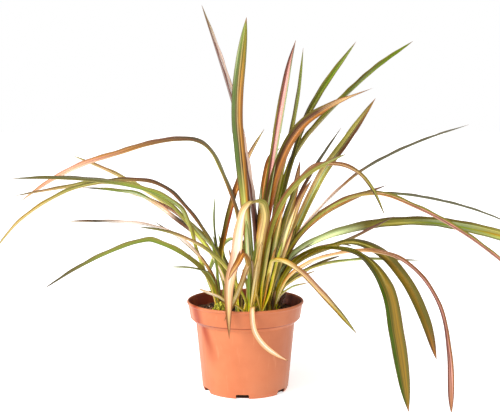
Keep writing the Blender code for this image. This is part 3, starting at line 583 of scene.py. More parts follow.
SIDE_SHOOTS = {
    "fan_front": [Fan((2.6, -4.6), [
        Leaf(-90, [(0.6, 17, -0.8), (0.9, 21, -0.4), (1, 25, 0.2)], 10, (50, 90), (0, 20),
             "base gold > base gold > gold > tan"),
        Leaf(-90, [(0.8, 17, 0), (1.2, 21, 0.6), (1.3, 26, 1.5)], 11, (50, 90), (0, 40),
             "base olive > base olive > khaki > olive"),
        Leaf(-90, [(0.7, 16.5, 0.6), (1.1, 20, 1.2), (1.2, 24, 2)], 8, (50, 90), (0, 20),
             "bronze > rust > ochre > rust"),
        Leaf(-90, [(0.5, 16.5, 1.2), (0.8, 20.5, 2.1), (0.9, 25.4, 3.4)], 13, (50, 90), (0, 40),
             "base green > base olive > base olive > green"),
    ], 10)],
    "fan_right_front": [Fan((3.4, -3.7), [
        Leaf(-10, [(0.8, 17), (1.8, 21), (3.2, 26), (4.8, 31)], 13, (60, 100), (60, 70, 60),
             "base green > lime edge > lime edge > cream stripe > tan"),
        Leaf(-20, [(0.9, 16.5), (2, 20), (3.4, 24), (4.6, 27.4)], 12, (60, 100), (60, 70, 60),
             "base gold > straw > khaki > tan > bronze"),
        Leaf(0, [(0.4, 17), (0.9, 21.5), (1.8, 26.5), (2.6, 30)], 12, (60, 100), (70, 80, 70),
             "base green > mint > mint > khaki > tan"),
        Leaf(-30, [(0.4, 16.6), (1, 20.6), (1.8, 24.4)], 11, (60, 100), (50, 60, 60),
             "base gold > gold > straw > rust"),
    ], 10)],
    "fan_left": [Fan((-1, -3), [
        Leaf(200, [(0.5, 17, 0), (1, 20.4, 0), (1.8, 24, 0)], 9, (50, 90), (0, 0),
             "base gold > ochre > bronze"),
        Leaf(-80, [(0.4, 17, -0.4), (0.6, 21, -0.8), (0.7, 24, -1)], 9, (50, 90), (0, 20),
             "base green > base olive > olive"),
    ], 9)],
}
print("fans:", len(FANS))

# %% [markdown]
# ## Finishing a piece
#
# Each piece ends the same way. Its mesh gets one material, its object stays at the origin, and up to
# two short calls tell the frame what it is: it rides on the one body, and it may stand for some of the
# frame's plain solids. Modifiers need one more helper. It keeps what they make as plain faces, since a
# live modifier can't be handed on.

# %% Helpers for pieces
def placed(name, data):
    """A new object that holds a mesh, a lamp or a camera, linked to the scene."""
    made = bpy.data.objects.new(name, data)
    bpy.context.scene.collection.objects.link(made)
    return made


def mesh_from(bm, name):
    """The shape that was built in bmesh, as a mesh."""
    mesh = bpy.data.meshes.new(name)
    bm.to_mesh(mesh)
    bm.free()
    return mesh


def plain_mesh(holder):
    """The mesh that an object's modifiers make of it. The object itself goes."""
    graph = bpy.context.evaluated_depsgraph_get()
    made = bpy.data.meshes.new_from_object(holder.evaluated_get(graph))
    bpy.data.objects.remove(holder)
    return made


def add_piece(name, mesh, material, slot, *nodes):
    """Links a finished piece, and hides the frame's nodes that it stands for."""
    mesh.materials.clear()
    mesh.materials.append(material)
    piece = placed(name, mesh)
    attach(piece, "root")
    if nodes:
        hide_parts(*nodes)
    print(name, "has", len(mesh.polygons), "faces")


def grown(tree, mesh, sizes):
    """The plain mesh that a Geometry Nodes tree makes of another one."""
    holder = placed("holder", mesh)
    modifier = holder.modifiers.new("grow", "NODES")
    modifier.node_group = tree
    for item in tree.interface.items_tree:
        if item.in_out == "INPUT" and item.name in sizes:
            modifier[item.identifier] = sizes[item.name]
    return plain_mesh(holder)


def new_tree(name, **inputs):
    """A Geometry Nodes tree with a mesh going in and out, a patch for it, and its input sockets."""
    tree = bpy.data.node_groups.new(name, "GeometryNodeTree")
    tree.interface.new_socket("Mesh", in_out="INPUT", socket_type="NodeSocketGeometry")
    tree.interface.new_socket("Mesh", in_out="OUTPUT", socket_type="NodeSocketGeometry")
    for key, kind in inputs.items():
        title = key.replace("_", " ")
        tree.interface.new_socket(title, in_out="INPUT", socket_type=f"NodeSocket{kind}")
    patch = Patch(tree)
    start = patch.node("NodeGroupInput")
    return tree, patch, start.outputs


def end_tree(patch, mesh, material):
    """Turns instances into faces, gives them their material, and closes the tree."""
    plain = patch.node("GeometryNodeRealizeInstances", {"Geometry": mesh}).outputs[0]
    dressed = patch.node("GeometryNodeSetMaterial", {"Geometry": plain, "Material": material})
    patch.node("NodeGroupOutput", {0: dressed.outputs[0]})


# %% [markdown]
# ## Ribs: the path of every leaf
#
# A flax leaf is a strap folded along its middle. Its shape follows a rule: a smooth path, a fold
# angle, a twist and a width, all of which change slowly from foot to tip. So we don't model leaves
# one by one. We work out a rib for each leaf, which is a chain of stations that carry these values,
# and let Geometry Nodes sweep the blade along it.
#
# The path is a smooth curve through the listed points. Stations are set closer where it bends.

# %% Smooth paths with stations
CURVE_SAMPLES = 400
STATION_EVERY = 7 * MM
BEND_SHARE = 60 * MM
FEWEST_STATIONS = 14


def smooth_curve(points):
    """A dense smooth curve through the given points."""
    points = np.array(points, float)
    knots = np.concatenate([[0.0], np.cumsum(np.linalg.norm(np.diff(points, axis=0), axis=1))])
    slopes = np.gradient(points, knots, axis=0)
    at = np.linspace(0.0, knots[-1], CURVE_SAMPLES)
    piece = np.clip(np.searchsorted(knots, at, side="right") - 1, 0, len(knots) - 2)
    span = (knots[piece + 1] - knots[piece])[:, None]
    t = (at[:, None] - knots[piece][:, None]) / span
    return (
        (2 * t**3 - 3 * t**2 + 1) * points[piece]
        + (t**3 - 2 * t**2 + t) * span * slopes[piece]
        + (3 * t**2 - 2 * t**3) * points[piece + 1]
        + (t**3 - t**2) * span * slopes[piece + 1]
    )


def stations(curve):
    """Places along the curve, with their shares of its length and their distances from its foot."""
    steps = np.diff(curve, axis=0)
    lengths = np.linalg.norm(steps, axis=1)
    ahead = steps / lengths[:, None]
    bends = np.concatenate([[0.0], np.linalg.norm(np.diff(ahead, axis=0), axis=1)])
    measure = np.concatenate([[0.0], np.cumsum(lengths + BEND_SHARE * bends)])
    travelled = np.concatenate([[0.0], np.cumsum(lengths)])
    count = max(FEWEST_STATIONS, round(measure[-1] / STATION_EVERY))
    even = np.linspace(0.0, measure[-1], count + 1)
    places = np.array([np.interp(even, measure, curve[:, axis]) for axis in range(3)]).T
    runs = np.interp(even, measure, travelled)
    return places, runs / travelled[-1], runs


# %% [markdown]
# The blade's frame at a station has three directions. The path's tangent points ahead, `wing` runs
# from margin to margin, and `hollow` points into the gutter. Twisting the leaf turns the last two
# about the first. The back has a tint too, which covers it well where the table names one, and only
# faintly elsewhere.

# %% The values at a leaf's stations
FOOT_WIDTH = 0.72
TIP_WIDTH = 0.5 * MM
WIDEST = 0.55
FOOT_HEIGHT = SOIL_TOP + 6 * MM
FIRST_FOOT = 1.0 * MM
FOOT_STEP = 0.8 * MM
STRIPES = 5
BACK_COVER = 0.85
FAINT_COVER = 0.12


def unit(vectors):
    return vectors / np.linalg.norm(vectors, axis=1)[:, None]


def spread(values, shares):
    """Values listed at even places from foot to tip, read at the given shares of the length."""
    return np.interp(shares, np.linspace(0.0, 1.0, len(values)), values)


def leaf_points(fan, leaf, order):
    """The leaf's path in metres, from its foot inside the sheath."""
    heading = math.radians(leaf.heading)
    along = np.array([math.cos(heading), math.sin(heading), 0.0])
    across = np.array([-math.sin(heading), math.cos(heading), 0.0])
    root = np.array([fan.root[0] * CM, fan.root[1] * CM, 0.0])
    foot = ((FIRST_FOOT + FOOT_STEP * order) / CM, FOOT_HEIGHT / CM)
    points = []
    for reach, height, *aside in [foot, *leaf.path]:
        sideways = aside[0] * CM if aside else 0.0
        points.append(root + along * reach * CM + across * sideways + np.array([0, 0, height * CM]))
    return points


def leaf_width(leaf, shares):
    """Narrow at the foot, widest past the middle, drawn to a fine tip."""
    opening = np.sin(np.minimum(shares / WIDEST, 1.0) * math.pi / 2)
    full = leaf.width * MM * (FOOT_WIDTH + (1 - FOOT_WIDTH) * opening)
    past = np.maximum(shares - WIDEST, 0.0) / (1 - WIDEST)
    return np.maximum(full * (1 - past**leaf.taper), TIP_WIDTH)


def leaf_rib(fan, leaf, order, seed):
    """A dictionary of the values at each station of one leaf."""
    places, shares, runs = stations(smooth_curve(leaf_points(fan, leaf, order)))
    heading = math.radians(leaf.heading)
    level = np.array([-math.sin(heading), math.cos(heading), 0.0])
    tangents = unit(np.gradient(places, axis=0))
    across = unit(level - tangents * (tangents @ level)[:, None])
    inward = np.cross(tangents, across)
    turn = np.radians(spread(leaf.turn, shares))[:, None]
    names, _, back = leaf.looks.partition(" | ")
    schemes = np.array([[TINTS[tint] for tint in SCHEMES[name]] for name in names.split(" > ")])
    back_tint, cover = (TINTS[back], BACK_COVER) if back else (TINTS["sage"], FAINT_COVER)
    rib = {
        "place": places,
        "wing": across * np.cos(turn) + inward * np.sin(turn),
        "hollow": inward * np.cos(turn) - across * np.sin(turn),
        "half_fold": np.radians(spread(leaf.fold, shares)) / 2,
        "half_width": leaf_width(leaf, shares) / 2,
        "share": shares,
        "run": runs,
        "seed": np.full(len(runs), seed),
        "back": np.tile((*back_tint[:3], cover), (len(runs), 1)),
    }
    for stripe in range(STRIPES):
        channels = [spread(schemes[:, stripe, channel], shares) for channel in range(4)]
        rib[f"tint_{stripe}"] = np.array(channels).T
    return rib


# %% [markdown]
# Between its long leaves, each fan has a few short upright ones that have just come up. They aren't
# in the table. Their lengths, widths, leans and twists are drawn at random between two limits, and
# the draw has a fixed seed, so that every run grows the same ones.

# %% Young leaves in the middle of each fan
YOUNG_SEED = 4
YOUNG_LEAVES = 3
YOUNG_LENGTHS = (6.0, 13.0)
YOUNG_WIDTHS = (7.0, 11.0)
YOUNG_LEANS = (0.04, 0.16)
YOUNG_ARCH = 1.4
YOUNG_FOLD = (60, 90)
YOUNG_TURNS = (0, 80)
YOUNG_LOOKS = (
    "base green > bright green > green",
    "base gold > olive > olive",
    "base gold > straw > tan",
)


def young_leaves(fan, rng):
    """Short upright leaves, each headed like one of the fan's long leaves."""
    soil = SOIL_TOP / CM
    leaves = []
    for _ in range(YOUNG_LEAVES):
        lean = rng.uniform(*YOUNG_LEANS)
        length = rng.uniform(*YOUNG_LENGTHS)
        path = [(lean * length / 2, soil + length / 2), (lean * length * YOUNG_ARCH, soil + length)]
        heading = rng.choice(fan.leaves).heading
        looks = rng.choice(YOUNG_LOOKS)
        width = rng.uniform(*YOUNG_WIDTHS)
        turn = rng.uniform(*YOUNG_TURNS)
        leaves.append(Leaf(heading, path, width, YOUNG_FOLD, (turn, turn), looks))
    return leaves


rng = random.Random(YOUNG_SEED)
PLANTS = {name: [*fan.leaves, *young_leaves(fan, rng)] for name, fan in FANS.items()}
print("leaves:", sum(len(leaves) for leaves in PLANTS.values()))

# %% [markdown]
# A rib becomes a mesh of edges, one vertex for each station, and its values become attributes on
# those vertices. Attributes travel: when Geometry Nodes turn the edges into curves and sweep them,
# every point of the blade still knows its station's values, and so does the material later.

# %% Ribs as a mesh with attributes
KINDS = {1: ("FLOAT", "value"), 3: ("FLOAT_VECTOR", "vector"), 4: ("FLOAT_COLOR", "color")}


def rib_mesh(ribs):
    """Edges along each rib, with every value but the place as a vertex attribute."""
    mesh = bpy.data.meshes.new("ribs")
    places = np.concatenate([rib["place"] for rib in ribs])
    edges = []
    start = 0
    for rib in ribs:
        count = len(rib["run"])
        edges += [(start + index, start + index + 1) for index in range(count - 1)]
        start += count
    mesh.from_pydata(places, edges, [])
    for name in ribs[0]:
        if name == "place":
            continue
        values = np.concatenate([rib[name] for rib in ribs])
        kind, field = KINDS[values.shape[1] if values.ndim == 2 else 1]
        attribute = mesh.attributes.new(name, kind, "POINT")
        attribute.data.foreach_set(field, values.astype(np.float32).ravel())
    return mesh


# %% [markdown]
# ## The folded blade
#
# The tree turns the ribs into curves and sweeps a circle along them. The circle's points carry their
# place in the section: its x is the side, from margin to margin, and its y is the face, hollow or
# back. Then each point is moved to where the fold, the width and the thickness want it. Because the
# thickness follows the circle, it fades to nothing at the margins, and the blade is a closed skin.
#
# A small roundness keeps the keel from being a knife edge, the halves bow outwards a little, and the
# two margins ripple, a little out of step with each other.

# %% The tree for blades
SEED_SHIFT = 7.3
SIDE_LAG = 2.1
RIPPLE_EDGE = 3.0
SLIM_HALF_WIDTH = 2.5 * MM


def blade_tree():
    tree, patch, given = new_tree(
        "folded blade", Points_round="Int", Thickness="Float", Keel_roundness="Float", Bow="Float",
        Ripple="Float", Ripple_length="Float", Material="Material",
    )

    def value(name, kind="FLOAT"):
        read = patch.node("GeometryNodeInputNamedAttribute", {"Name": name}, data_type=kind)
        return read.outputs["Attribute"]

    def store(mesh, name, vector):
        inputs = {"Geometry": mesh, "Name": name, "Value": vector}
        kept = patch.node("GeometryNodeStoreNamedAttribute", inputs, data_type="FLOAT_VECTOR")
        return kept.outputs["Geometry"]

    position = patch.node("GeometryNodeInputPosition").outputs[0]
    ribs = store(given["Mesh"], "spine", position)
    curves = patch.node("GeometryNodeMeshToCurve", {"Mesh": ribs}).outputs[0]
    inputs = {"Resolution": given["Points round"], "Radius": 1.0}
    circle = patch.node("GeometryNodeCurvePrimitiveCircle", inputs)
    section = store(circle.outputs["Curve"], "section", position)
    inputs = {"Curve": curves, "Profile Curve": section, "Fill Caps": True}
    swept = patch.node("GeometryNodeCurveToMesh", inputs).outputs[0]

    corner = patch.node("ShaderNodeSeparateXYZ", {0: value("section", "FLOAT_VECTOR")})
    side, face = corner.outputs[0], corner.outputs[1]
    gap = patch.math("ABSOLUTE", side)
    softness = patch.times(given["Keel roundness"], given["Keel roundness"])
    from_keel = patch.math("SQRT", patch.plus(patch.times(side, side), softness))
    half_width, half_fold = value("half_width"), value("half_fold")
    sine, cosine = patch.math("SINE", half_fold), patch.math("COSINE", half_fold)
    wing, hollow = value("wing", "FLOAT_VECTOR"), value("hollow", "FLOAT_VECTOR")

    out = patch.times(side, half_width, sine)
    bowing = patch.times(gap, patch.minus(1.0, gap), given["Bow"])
    rise = patch.minus(patch.times(patch.minus(from_keel, 0.5), cosine), bowing)
    phase = patch.math("DIVIDE", value("run"), given["Ripple length"])
    phase = patch.plus(phase, patch.times(value("seed"), SEED_SHIFT))
    phase = patch.plus(patch.times(phase, math.tau), patch.times(side, SIDE_LAG))
    ripple = patch.times(patch.math("SINE", phase), patch.math("POWER", gap, RIPPLE_EDGE), given["Ripple"])
    up = patch.times(patch.plus(rise, ripple), half_width)

    slope = patch.times(patch.math("DIVIDE", side, from_keel), cosine)
    towards = patch.vector("SCALE", wing, patch.times(slope, -1.0))
    normal = patch.vector("NORMALIZE", patch.vector("ADD", towards, patch.vector("SCALE", hollow, sine)))
    slimness = patch.math("MINIMUM", patch.math("DIVIDE", half_width, SLIM_HALF_WIDTH), 1.0)
    lift = patch.times(given["Thickness"], 0.5, slimness, face)

    place = value("spine", "FLOAT_VECTOR")
    for direction, distance in ((wing, out), (hollow, up), (normal, lift)):
        place = patch.vector("ADD", place, patch.vector("SCALE", direction, distance))
    moved = patch.node("GeometryNodeSetPosition", {"Geometry": swept, "Position": place}).outputs[0]
    smooth = patch.node("GeometryNodeSetShadeSmooth", {"Geometry": moved}).outputs[0]
    end_tree(patch, smooth, given["Material"])
    return tree


BLADES = blade_tree()
print("blade tree:", len(BLADES.nodes), "nodes")

# %% [markdown]
# ## The look of a leaf
#
# Seen close, a flax leaf has fine parallel veins from end to end, so everything on it is drawn out
# lengthwise. The material reads a point's side and its distance from the foot, and stretches its
# noise along the blade. One coarse noise moves the stripes' borders, so that they wander and break
# into streaks, and a fine one gives the veins their relief and their slight change of tone. A third
# one, drawn out even longer, makes whole stretches a little darker or lighter.
#
# The margins have the species' thin rusty line, the keel has a pale one on the leaf's back, and the
# tip is dry. A leaf is waxy, so it is fairly smooth, and duller between the veins.

# %% The striped leaf material
STRIPE_BORDERS = (-0.62, -0.2, 0.2, 0.62)
BORDER_BLUR = 0.09
WANDER = 0.7
NOISE_APART = 31.7
KEEL_LINE = (0.09, 0.03)
RUSTY_LINE = (0.91, 0.96)
DRY_TIP = (0.97, 0.995)


def leaf_material():
    material, shader, patch = new_material("striped flax leaf", Roughness=0.42, Specular_IOR_Level=0.25)
    section = patch.node("ShaderNodeSeparateXYZ", {0: patch.attribute("section", "Vector")})
    side, face = section.outputs[0], section.outputs[1]
    gap = patch.math("ABSOLUTE", side)
    run, seed, share = (patch.attribute(name) for name in ("run", "seed", "share"))
    offset = patch.times(seed, NOISE_APART)

    def streaks(across, along, detail=2.0):
        """Noise that changes so often from keel to margin, and so often in a metre of leaf."""
        place = patch.combine(patch.times(side, across), patch.times(run, along), offset)
        return patch.noise(place, 1.0, detail)

    wander = patch.times(patch.minus(streaks(5.0, 9.0), 0.5), WANDER)
    place = patch.plus(side, wander)
    tints = [patch.attribute(f"tint_{stripe}", "Color") for stripe in range(STRIPES)]
    colour = tints[0]
    for tint, border in zip(tints[1:], STRIPE_BORDERS):
        colour = patch.mix(patch.step(place, border - BORDER_BLUR, border + BORDER_BLUR), colour, tint)

    behind = patch.step(face, 0.1, -0.1)
    back_share = patch.times(behind, patch.attribute("back", "Alpha"))
    colour = patch.mix(back_share, colour, patch.attribute("back", "Color"))
    veins = streaks(24.0, 14.0, 3.0)
    vein_tone = patch.step(veins, 0.3, 0.7, 0.92, 1.14)
    streak_tone = patch.step(streaks(9.0, 3.0), 0.38, 0.6, 0.74, 1.24)
    # Painted light: the blade is brighter towards the foot, where the crowded bases would otherwise sit in
    # shade.
    foot_painted_light = patch.step(share, 0.12, 0.5, 1.3, 0.88)
    inputs = {
        "Saturation": patch.step(share, 0.1, 0.6, 1.16, 1.04),
        "Value": patch.times(vein_tone, streak_tone, foot_painted_light),
        "Color": colour,
    }
    colour = patch.node("ShaderNodeHueSaturation", inputs).outputs[0]
    keel = patch.times(patch.step(gap, *KEEL_LINE), behind, 0.45)
    colour = patch.mix(keel, colour, TINTS["straw"])
    rim = patch.step(patch.plus(gap, patch.times(wander, 0.12)), *RUSTY_LINE)
    colour = patch.mix(patch.times(rim, 0.6), colour, TINTS["maroon"])
    dry = patch.step(patch.plus(share, patch.times(wander, 0.05)), *DRY_TIP)
    colour = patch.mix(dry, colour, TINTS["bronze"])
    patch.finish(shader, colour, patch.step(veins, 0.3, 0.7, 0.5, 0.34), patch.bump(veins, 0.35 * MM, 0.8))
    return material


LEAF = leaf_material()

# %% [markdown]
# ## Growing the fans
#
# Each fan stands for one solid of the frame, so it becomes one piece, together with the side shoot
# that some fans have. Its leaf bases wrap round each other in a flat sheath. The sheath is made of
# the same blades: short, wide and folded almost shut, with their keels outwards to both sides.

# %% Sheaths and blades, fan by fan
BLADE_SIZES = {
    "Points round": 24, "Thickness": 1.0 * MM, "Keel roundness": 0.09, "Bow": 0.22,
    "Ripple": 0.06, "Ripple length": 46 * MM, "Material": LEAF,
}
SHEATH_SEED = 11
SHEATH_LEAVES = 6
SHEATH_REACH = 0.42
SHEATH_REACH_STEP = 0.06
SHEATH_HEIGHT = 2.2
SHEATH_HEIGHT_STEP = 0.5
SHEATH_HEIGHT_CHANCE = (-0.2, 0.3)
SHEATH_SINK = 0.4
SHEATH_BULGE = 1.1
SHEATH_BULGE_HEIGHT = 1.2
SHEATH_SPLAY = (1.0, 1.6)
SHEATH_SWING = (-9, 9)
SHEATH_FOLD = (34, 44)
SHEATH_ORDER = -1
SHEATH_LOOKS = (
    "base green > base green > base gold",
    "base gold > base gold > olive",
    "base gold > base gold > bronze",
    "base green > base green > green",
)
SEED_PARTS = 20


def sheath_leaves(width, rng):
    """Short closed leaf bases, alternately to the two sides, the outer ones lower."""
    soil = SOIL_TOP / CM
    leaves = []
    for index in range(SHEATH_LEAVES):
        reach = SHEATH_REACH - SHEATH_REACH_STEP * index
        top = soil + SHEATH_HEIGHT + SHEATH_HEIGHT_STEP * index + rng.uniform(*SHEATH_HEIGHT_CHANCE)
        bulge = (reach * SHEATH_BULGE, soil + SHEATH_BULGE_HEIGHT)
        path = [(reach, soil - SHEATH_SINK), bulge, (reach * rng.uniform(*SHEATH_SPLAY), top)]
        heading = 180 * (index % 2) + rng.uniform(*SHEATH_SWING)
        looks = rng.choice(SHEATH_LOOKS)
        leaves.append(Leaf(heading, path, width - index, SHEATH_FOLD, (0, 0), looks))
    return leaves


rng = random.Random(SHEATH_SEED)
for number, (name, leaves) in enumerate(PLANTS.items()):
    shoots = [Fan(FANS[name].root, leaves, FANS[name].sheath), *SIDE_SHOOTS.get(name, [])]
    ribs = []
    for fan in shoots:
        seed = number + len(ribs) / SEED_PARTS
        ribs += [leaf_rib(fan, leaf, order, seed) for order, leaf in enumerate(fan.leaves)]
        seed = number + len(ribs) / SEED_PARTS
        ribs += [leaf_rib(fan, leaf, SHEATH_ORDER, seed) for leaf in sheath_leaves(fan.sheath, rng)]
    mesh = grown(BLADES, rib_mesh(ribs), BLADE_SIZES)
    add_piece(name.replace("fan", "blades"), mesh, LEAF, "leaf", name)

# %% [markdown]
# ## Turned shapes
#
# The pot and the soil are solids of revolution. We give an outline as a list of radius and height,
# round its corners with a small curve each, and spin it. The spin is written out as rings of points
# and the faces between them, with the two ends on the axis closed by fans of triangles.

# %% Rounding an outline and spinning it
LONGEST_SHARE = 0.45
HAIR = 1e-6


def softened(outline, radius, steps=5):
    """The outline with each corner between its two ends rounded by a small curve."""
    points = [np.array(point, float) for point in outline]
    soft = [points[0]]
    for before, corner, after in zip(points, points[1:], points[2:]):
        back, onward = np.linalg.norm(before - corner), np.linalg.norm(after - corner)
        start = corner + (before - corner) / back * min(radius, back * LONGEST_SHARE)
        end = corner + (after - corner) / onward * min(radius, onward * LONGEST_SHARE)
        for step in range(steps + 1):
            t = step / steps
            soft.append((1 - t) ** 2 * start + 2 * t * (1 - t) * corner + t**2 * end)
    soft.append(points[-1])
    return soft


def spun(name, outline, steps):
    """A closed solid of revolution. The outline starts and ends on the axis, outer side downwards."""
    rings = [point for point in outline if point[0] > HAIR]
    vertices = [(0.0, 0.0, float(outline[0][1])), (0.0, 0.0, float(outline[-1][1]))]
    for radius, height in rings:
        for step in range(steps):
            angle = math.tau * step / steps
            vertices.append((radius * math.cos(angle), radius * math.sin(angle), height))

    def at(ring, step):
        return 2 + ring * steps + step % steps

    faces = []
    for step in range(steps):
        faces.append((0, at(0, step), at(0, step + 1)))
        faces.append((1, at(len(rings) - 1, step + 1), at(len(rings) - 1, step)))
        for ring in range(len(rings) - 1):
            faces.append((at(ring, step), at(ring + 1, step), at(ring + 1, step + 1), at(ring, step + 1)))
    mesh = bpy.data.meshes.new(name)
    mesh.from_pydata([tuple(map(float, vertex)) for vertex in vertices], [], faces)
    return mesh


# %% [markdown]
# ## The nursery pot
#
# It is moulded in one thin wall: a band under the rim, a sloping shoulder below it, a body that
# tapers to the base, and six notches in the bottom corner to let water out. The lip has a small
# bead, which catches the light as a pale line, so it's worth rounding properly.

# %% The pot's outline
POT_STEPS = 180
CORNER_ROUNDING = 1.1 * MM
FOOT_BEVEL = 1 * MM
FOOT_BEVEL_HEIGHT = 5 * MM

BAND_FOOT = POT_HEIGHT - BAND_DEPTH
SHOULDER_FOOT = BAND_FOOT - SHOULDER_DEPTH
LIP_FOOT = POT_HEIGHT - LIP_DEPTH

INNER_SIDE = [
    (BASE_RADIUS - WALL, FLOOR),
    (BODY_TOP_RADIUS - WALL, SHOULDER_FOOT + WALL / 2),
    (BAND_FOOT_RADIUS - WALL, BAND_FOOT + WALL / 2),
    (RIM_RADIUS - WALL, POT_HEIGHT),
]
OUTER_SIDE = [
    (RIM_RADIUS, POT_HEIGHT),
    (RIM_RADIUS + LIP_BEAD, POT_HEIGHT - LIP_BEAD),
    (RIM_RADIUS + LIP_BEAD, LIP_FOOT),
    (RIM_RADIUS - LIP_BEAD / 2, LIP_FOOT - LIP_BEAD),
    (BAND_FOOT_RADIUS, BAND_FOOT),
    (BODY_TOP_RADIUS, SHOULDER_FOOT),
    (BASE_RADIUS + FOOT_BEVEL, FOOT_BEVEL_HEIGHT),
    (BASE_RADIUS - FOOT_BEVEL, 0.0),
]
outline = softened([(0.0, FLOOR), *INNER_SIDE, *OUTER_SIDE, (0.0, 0.0)], CORNER_ROUNDING)
pot_mesh = spun("pot", outline, POT_STEPS)
print("pot outline:", len(outline), "points")


# %% [markdown]
# The notches are cut with a Boolean modifier. Each cutter is a box with rounded upper corners, since
# a mould has no sharp ones, and it is turned to face its own part of the wall.

# %% Cutting the notches
NOTCH_COUNT = 6
NOTCH_WIDTH = 21 * MM
NOTCH_HEIGHT = 7.6 * MM
NOTCH_INSET = 7 * MM
NOTCH_ROUNDING = 2.2 * MM
FIRST_NOTCH = math.radians(-93.7)
SHARP_ANGLE = math.radians(40)


def notch_cutter(angle):
    """A box with rounded upper corners, turned to the pot's wall."""
    bm = bmesh.new()
    bmesh.ops.create_cube(bm, size=1.0)
    bmesh.ops.scale(bm, vec=(2 * NOTCH_INSET, NOTCH_WIDTH, 2 * NOTCH_HEIGHT), verts=bm.verts)
    top = [edge for edge in bm.edges if all(vertex.co.z > 0 for vertex in edge.verts)]
    ends = [edge for edge in top if abs(edge.verts[0].co.y - edge.verts[1].co.y) < HAIR]
    bmesh.ops.bevel(bm, geom=ends, offset=NOTCH_ROUNDING, segments=5, profile=0.5, affect="EDGES")
    bmesh.ops.translate(bm, vec=(BASE_RADIUS, 0, 0), verts=bm.verts)
    for vertex in bm.verts:
        x, y = vertex.co.x, vertex.co.y
        vertex.co.x = x * math.cos(angle) - y * math.sin(angle)
        vertex.co.y = x * math.sin(angle) + y * math.cos(angle)
    return mesh_from(bm, "notch")


def cut(mesh, cutters):
    """The mesh less the cutters, as a plain mesh."""
    holder = placed("holder", mesh)
    knives = bpy.data.collections.new("knives")
    bpy.context.scene.collection.children.link(knives)
    for cutter in cutters:
        knives.objects.link(bpy.data.objects.new("knife", cutter))
    boolean = holder.modifiers.new("cut", "BOOLEAN")
    boolean.operand_type = "COLLECTION"
    boolean.collection = knives
    boolean.operation = "DIFFERENCE"
    boolean.solver = "EXACT"
    bpy.context.view_layer.update()
    made = plain_mesh(holder)
    for knife in list(knives.objects):
        bpy.data.objects.remove(knife)
    bpy.data.collections.remove(knives)
    return made


angles = [FIRST_NOTCH + index * math.tau / NOTCH_COUNT for index in range(NOTCH_COUNT)]
pot_mesh = cut(pot_mesh, [notch_cutter(angle) for angle in angles])
pot_mesh.shade_smooth()
pot_mesh.set_sharp_from_angle(angle=SHARP_ANGLE)
print("notches:", len(angles))

# %% [markdown]
# Moulded plastic is even in colour, so its interest is in small things: a fine grain, faint upright
# scuffs from being stacked in others, and dust that gathers low down. The rest is painted shade: a
# dark painted shadow line just under the band, where the band shades the body, and a darker streak
# of painted shade that runs a little aslant down the left of the wall. The inner wall above the soil
# is darkened partly by stains where wet compost has splashed and partly by painted shade, darkest on
# the right, and the underside is painted nearly black as shade. The grain is relief, and each of the
# others is a colour that is mixed over the ones before, as far as a mask lets it show.

# %% The plastic
# Width of the painted shadow line under the band.
BAND_SHADOW_WIDTH = 1.6 * MM
# Where the painted shade streak runs.
SHADE_STREAK_TOP_BEARING = math.radians(-57)
SHADE_STREAK_FOOT_BEARING = math.radians(-44)
SHADE_STREAK_SPREAD = math.radians(12)
PLASTIC_TINTS = (srgb(178, 100, 62), srgb(186, 108, 69))
SCUFF_TINT = srgb(244, 182, 142)
DUST_TINT = srgb(176, 112, 78)
# Partly compost stain, partly painted shade.
STAIN_AND_SHADE_TINTS = (srgb(132, 48, 26), srgb(78, 28, 16))
# Painted shadow under the band.
BAND_SHADOW_TINT = srgb(120, 46, 22)
# Painted shade streak.
SHADE_STREAK_TINT = srgb(146, 50, 4)
# Painted shade on the underside.
UNDERSIDE_SHADE_TINT = srgb(48, 22, 16)


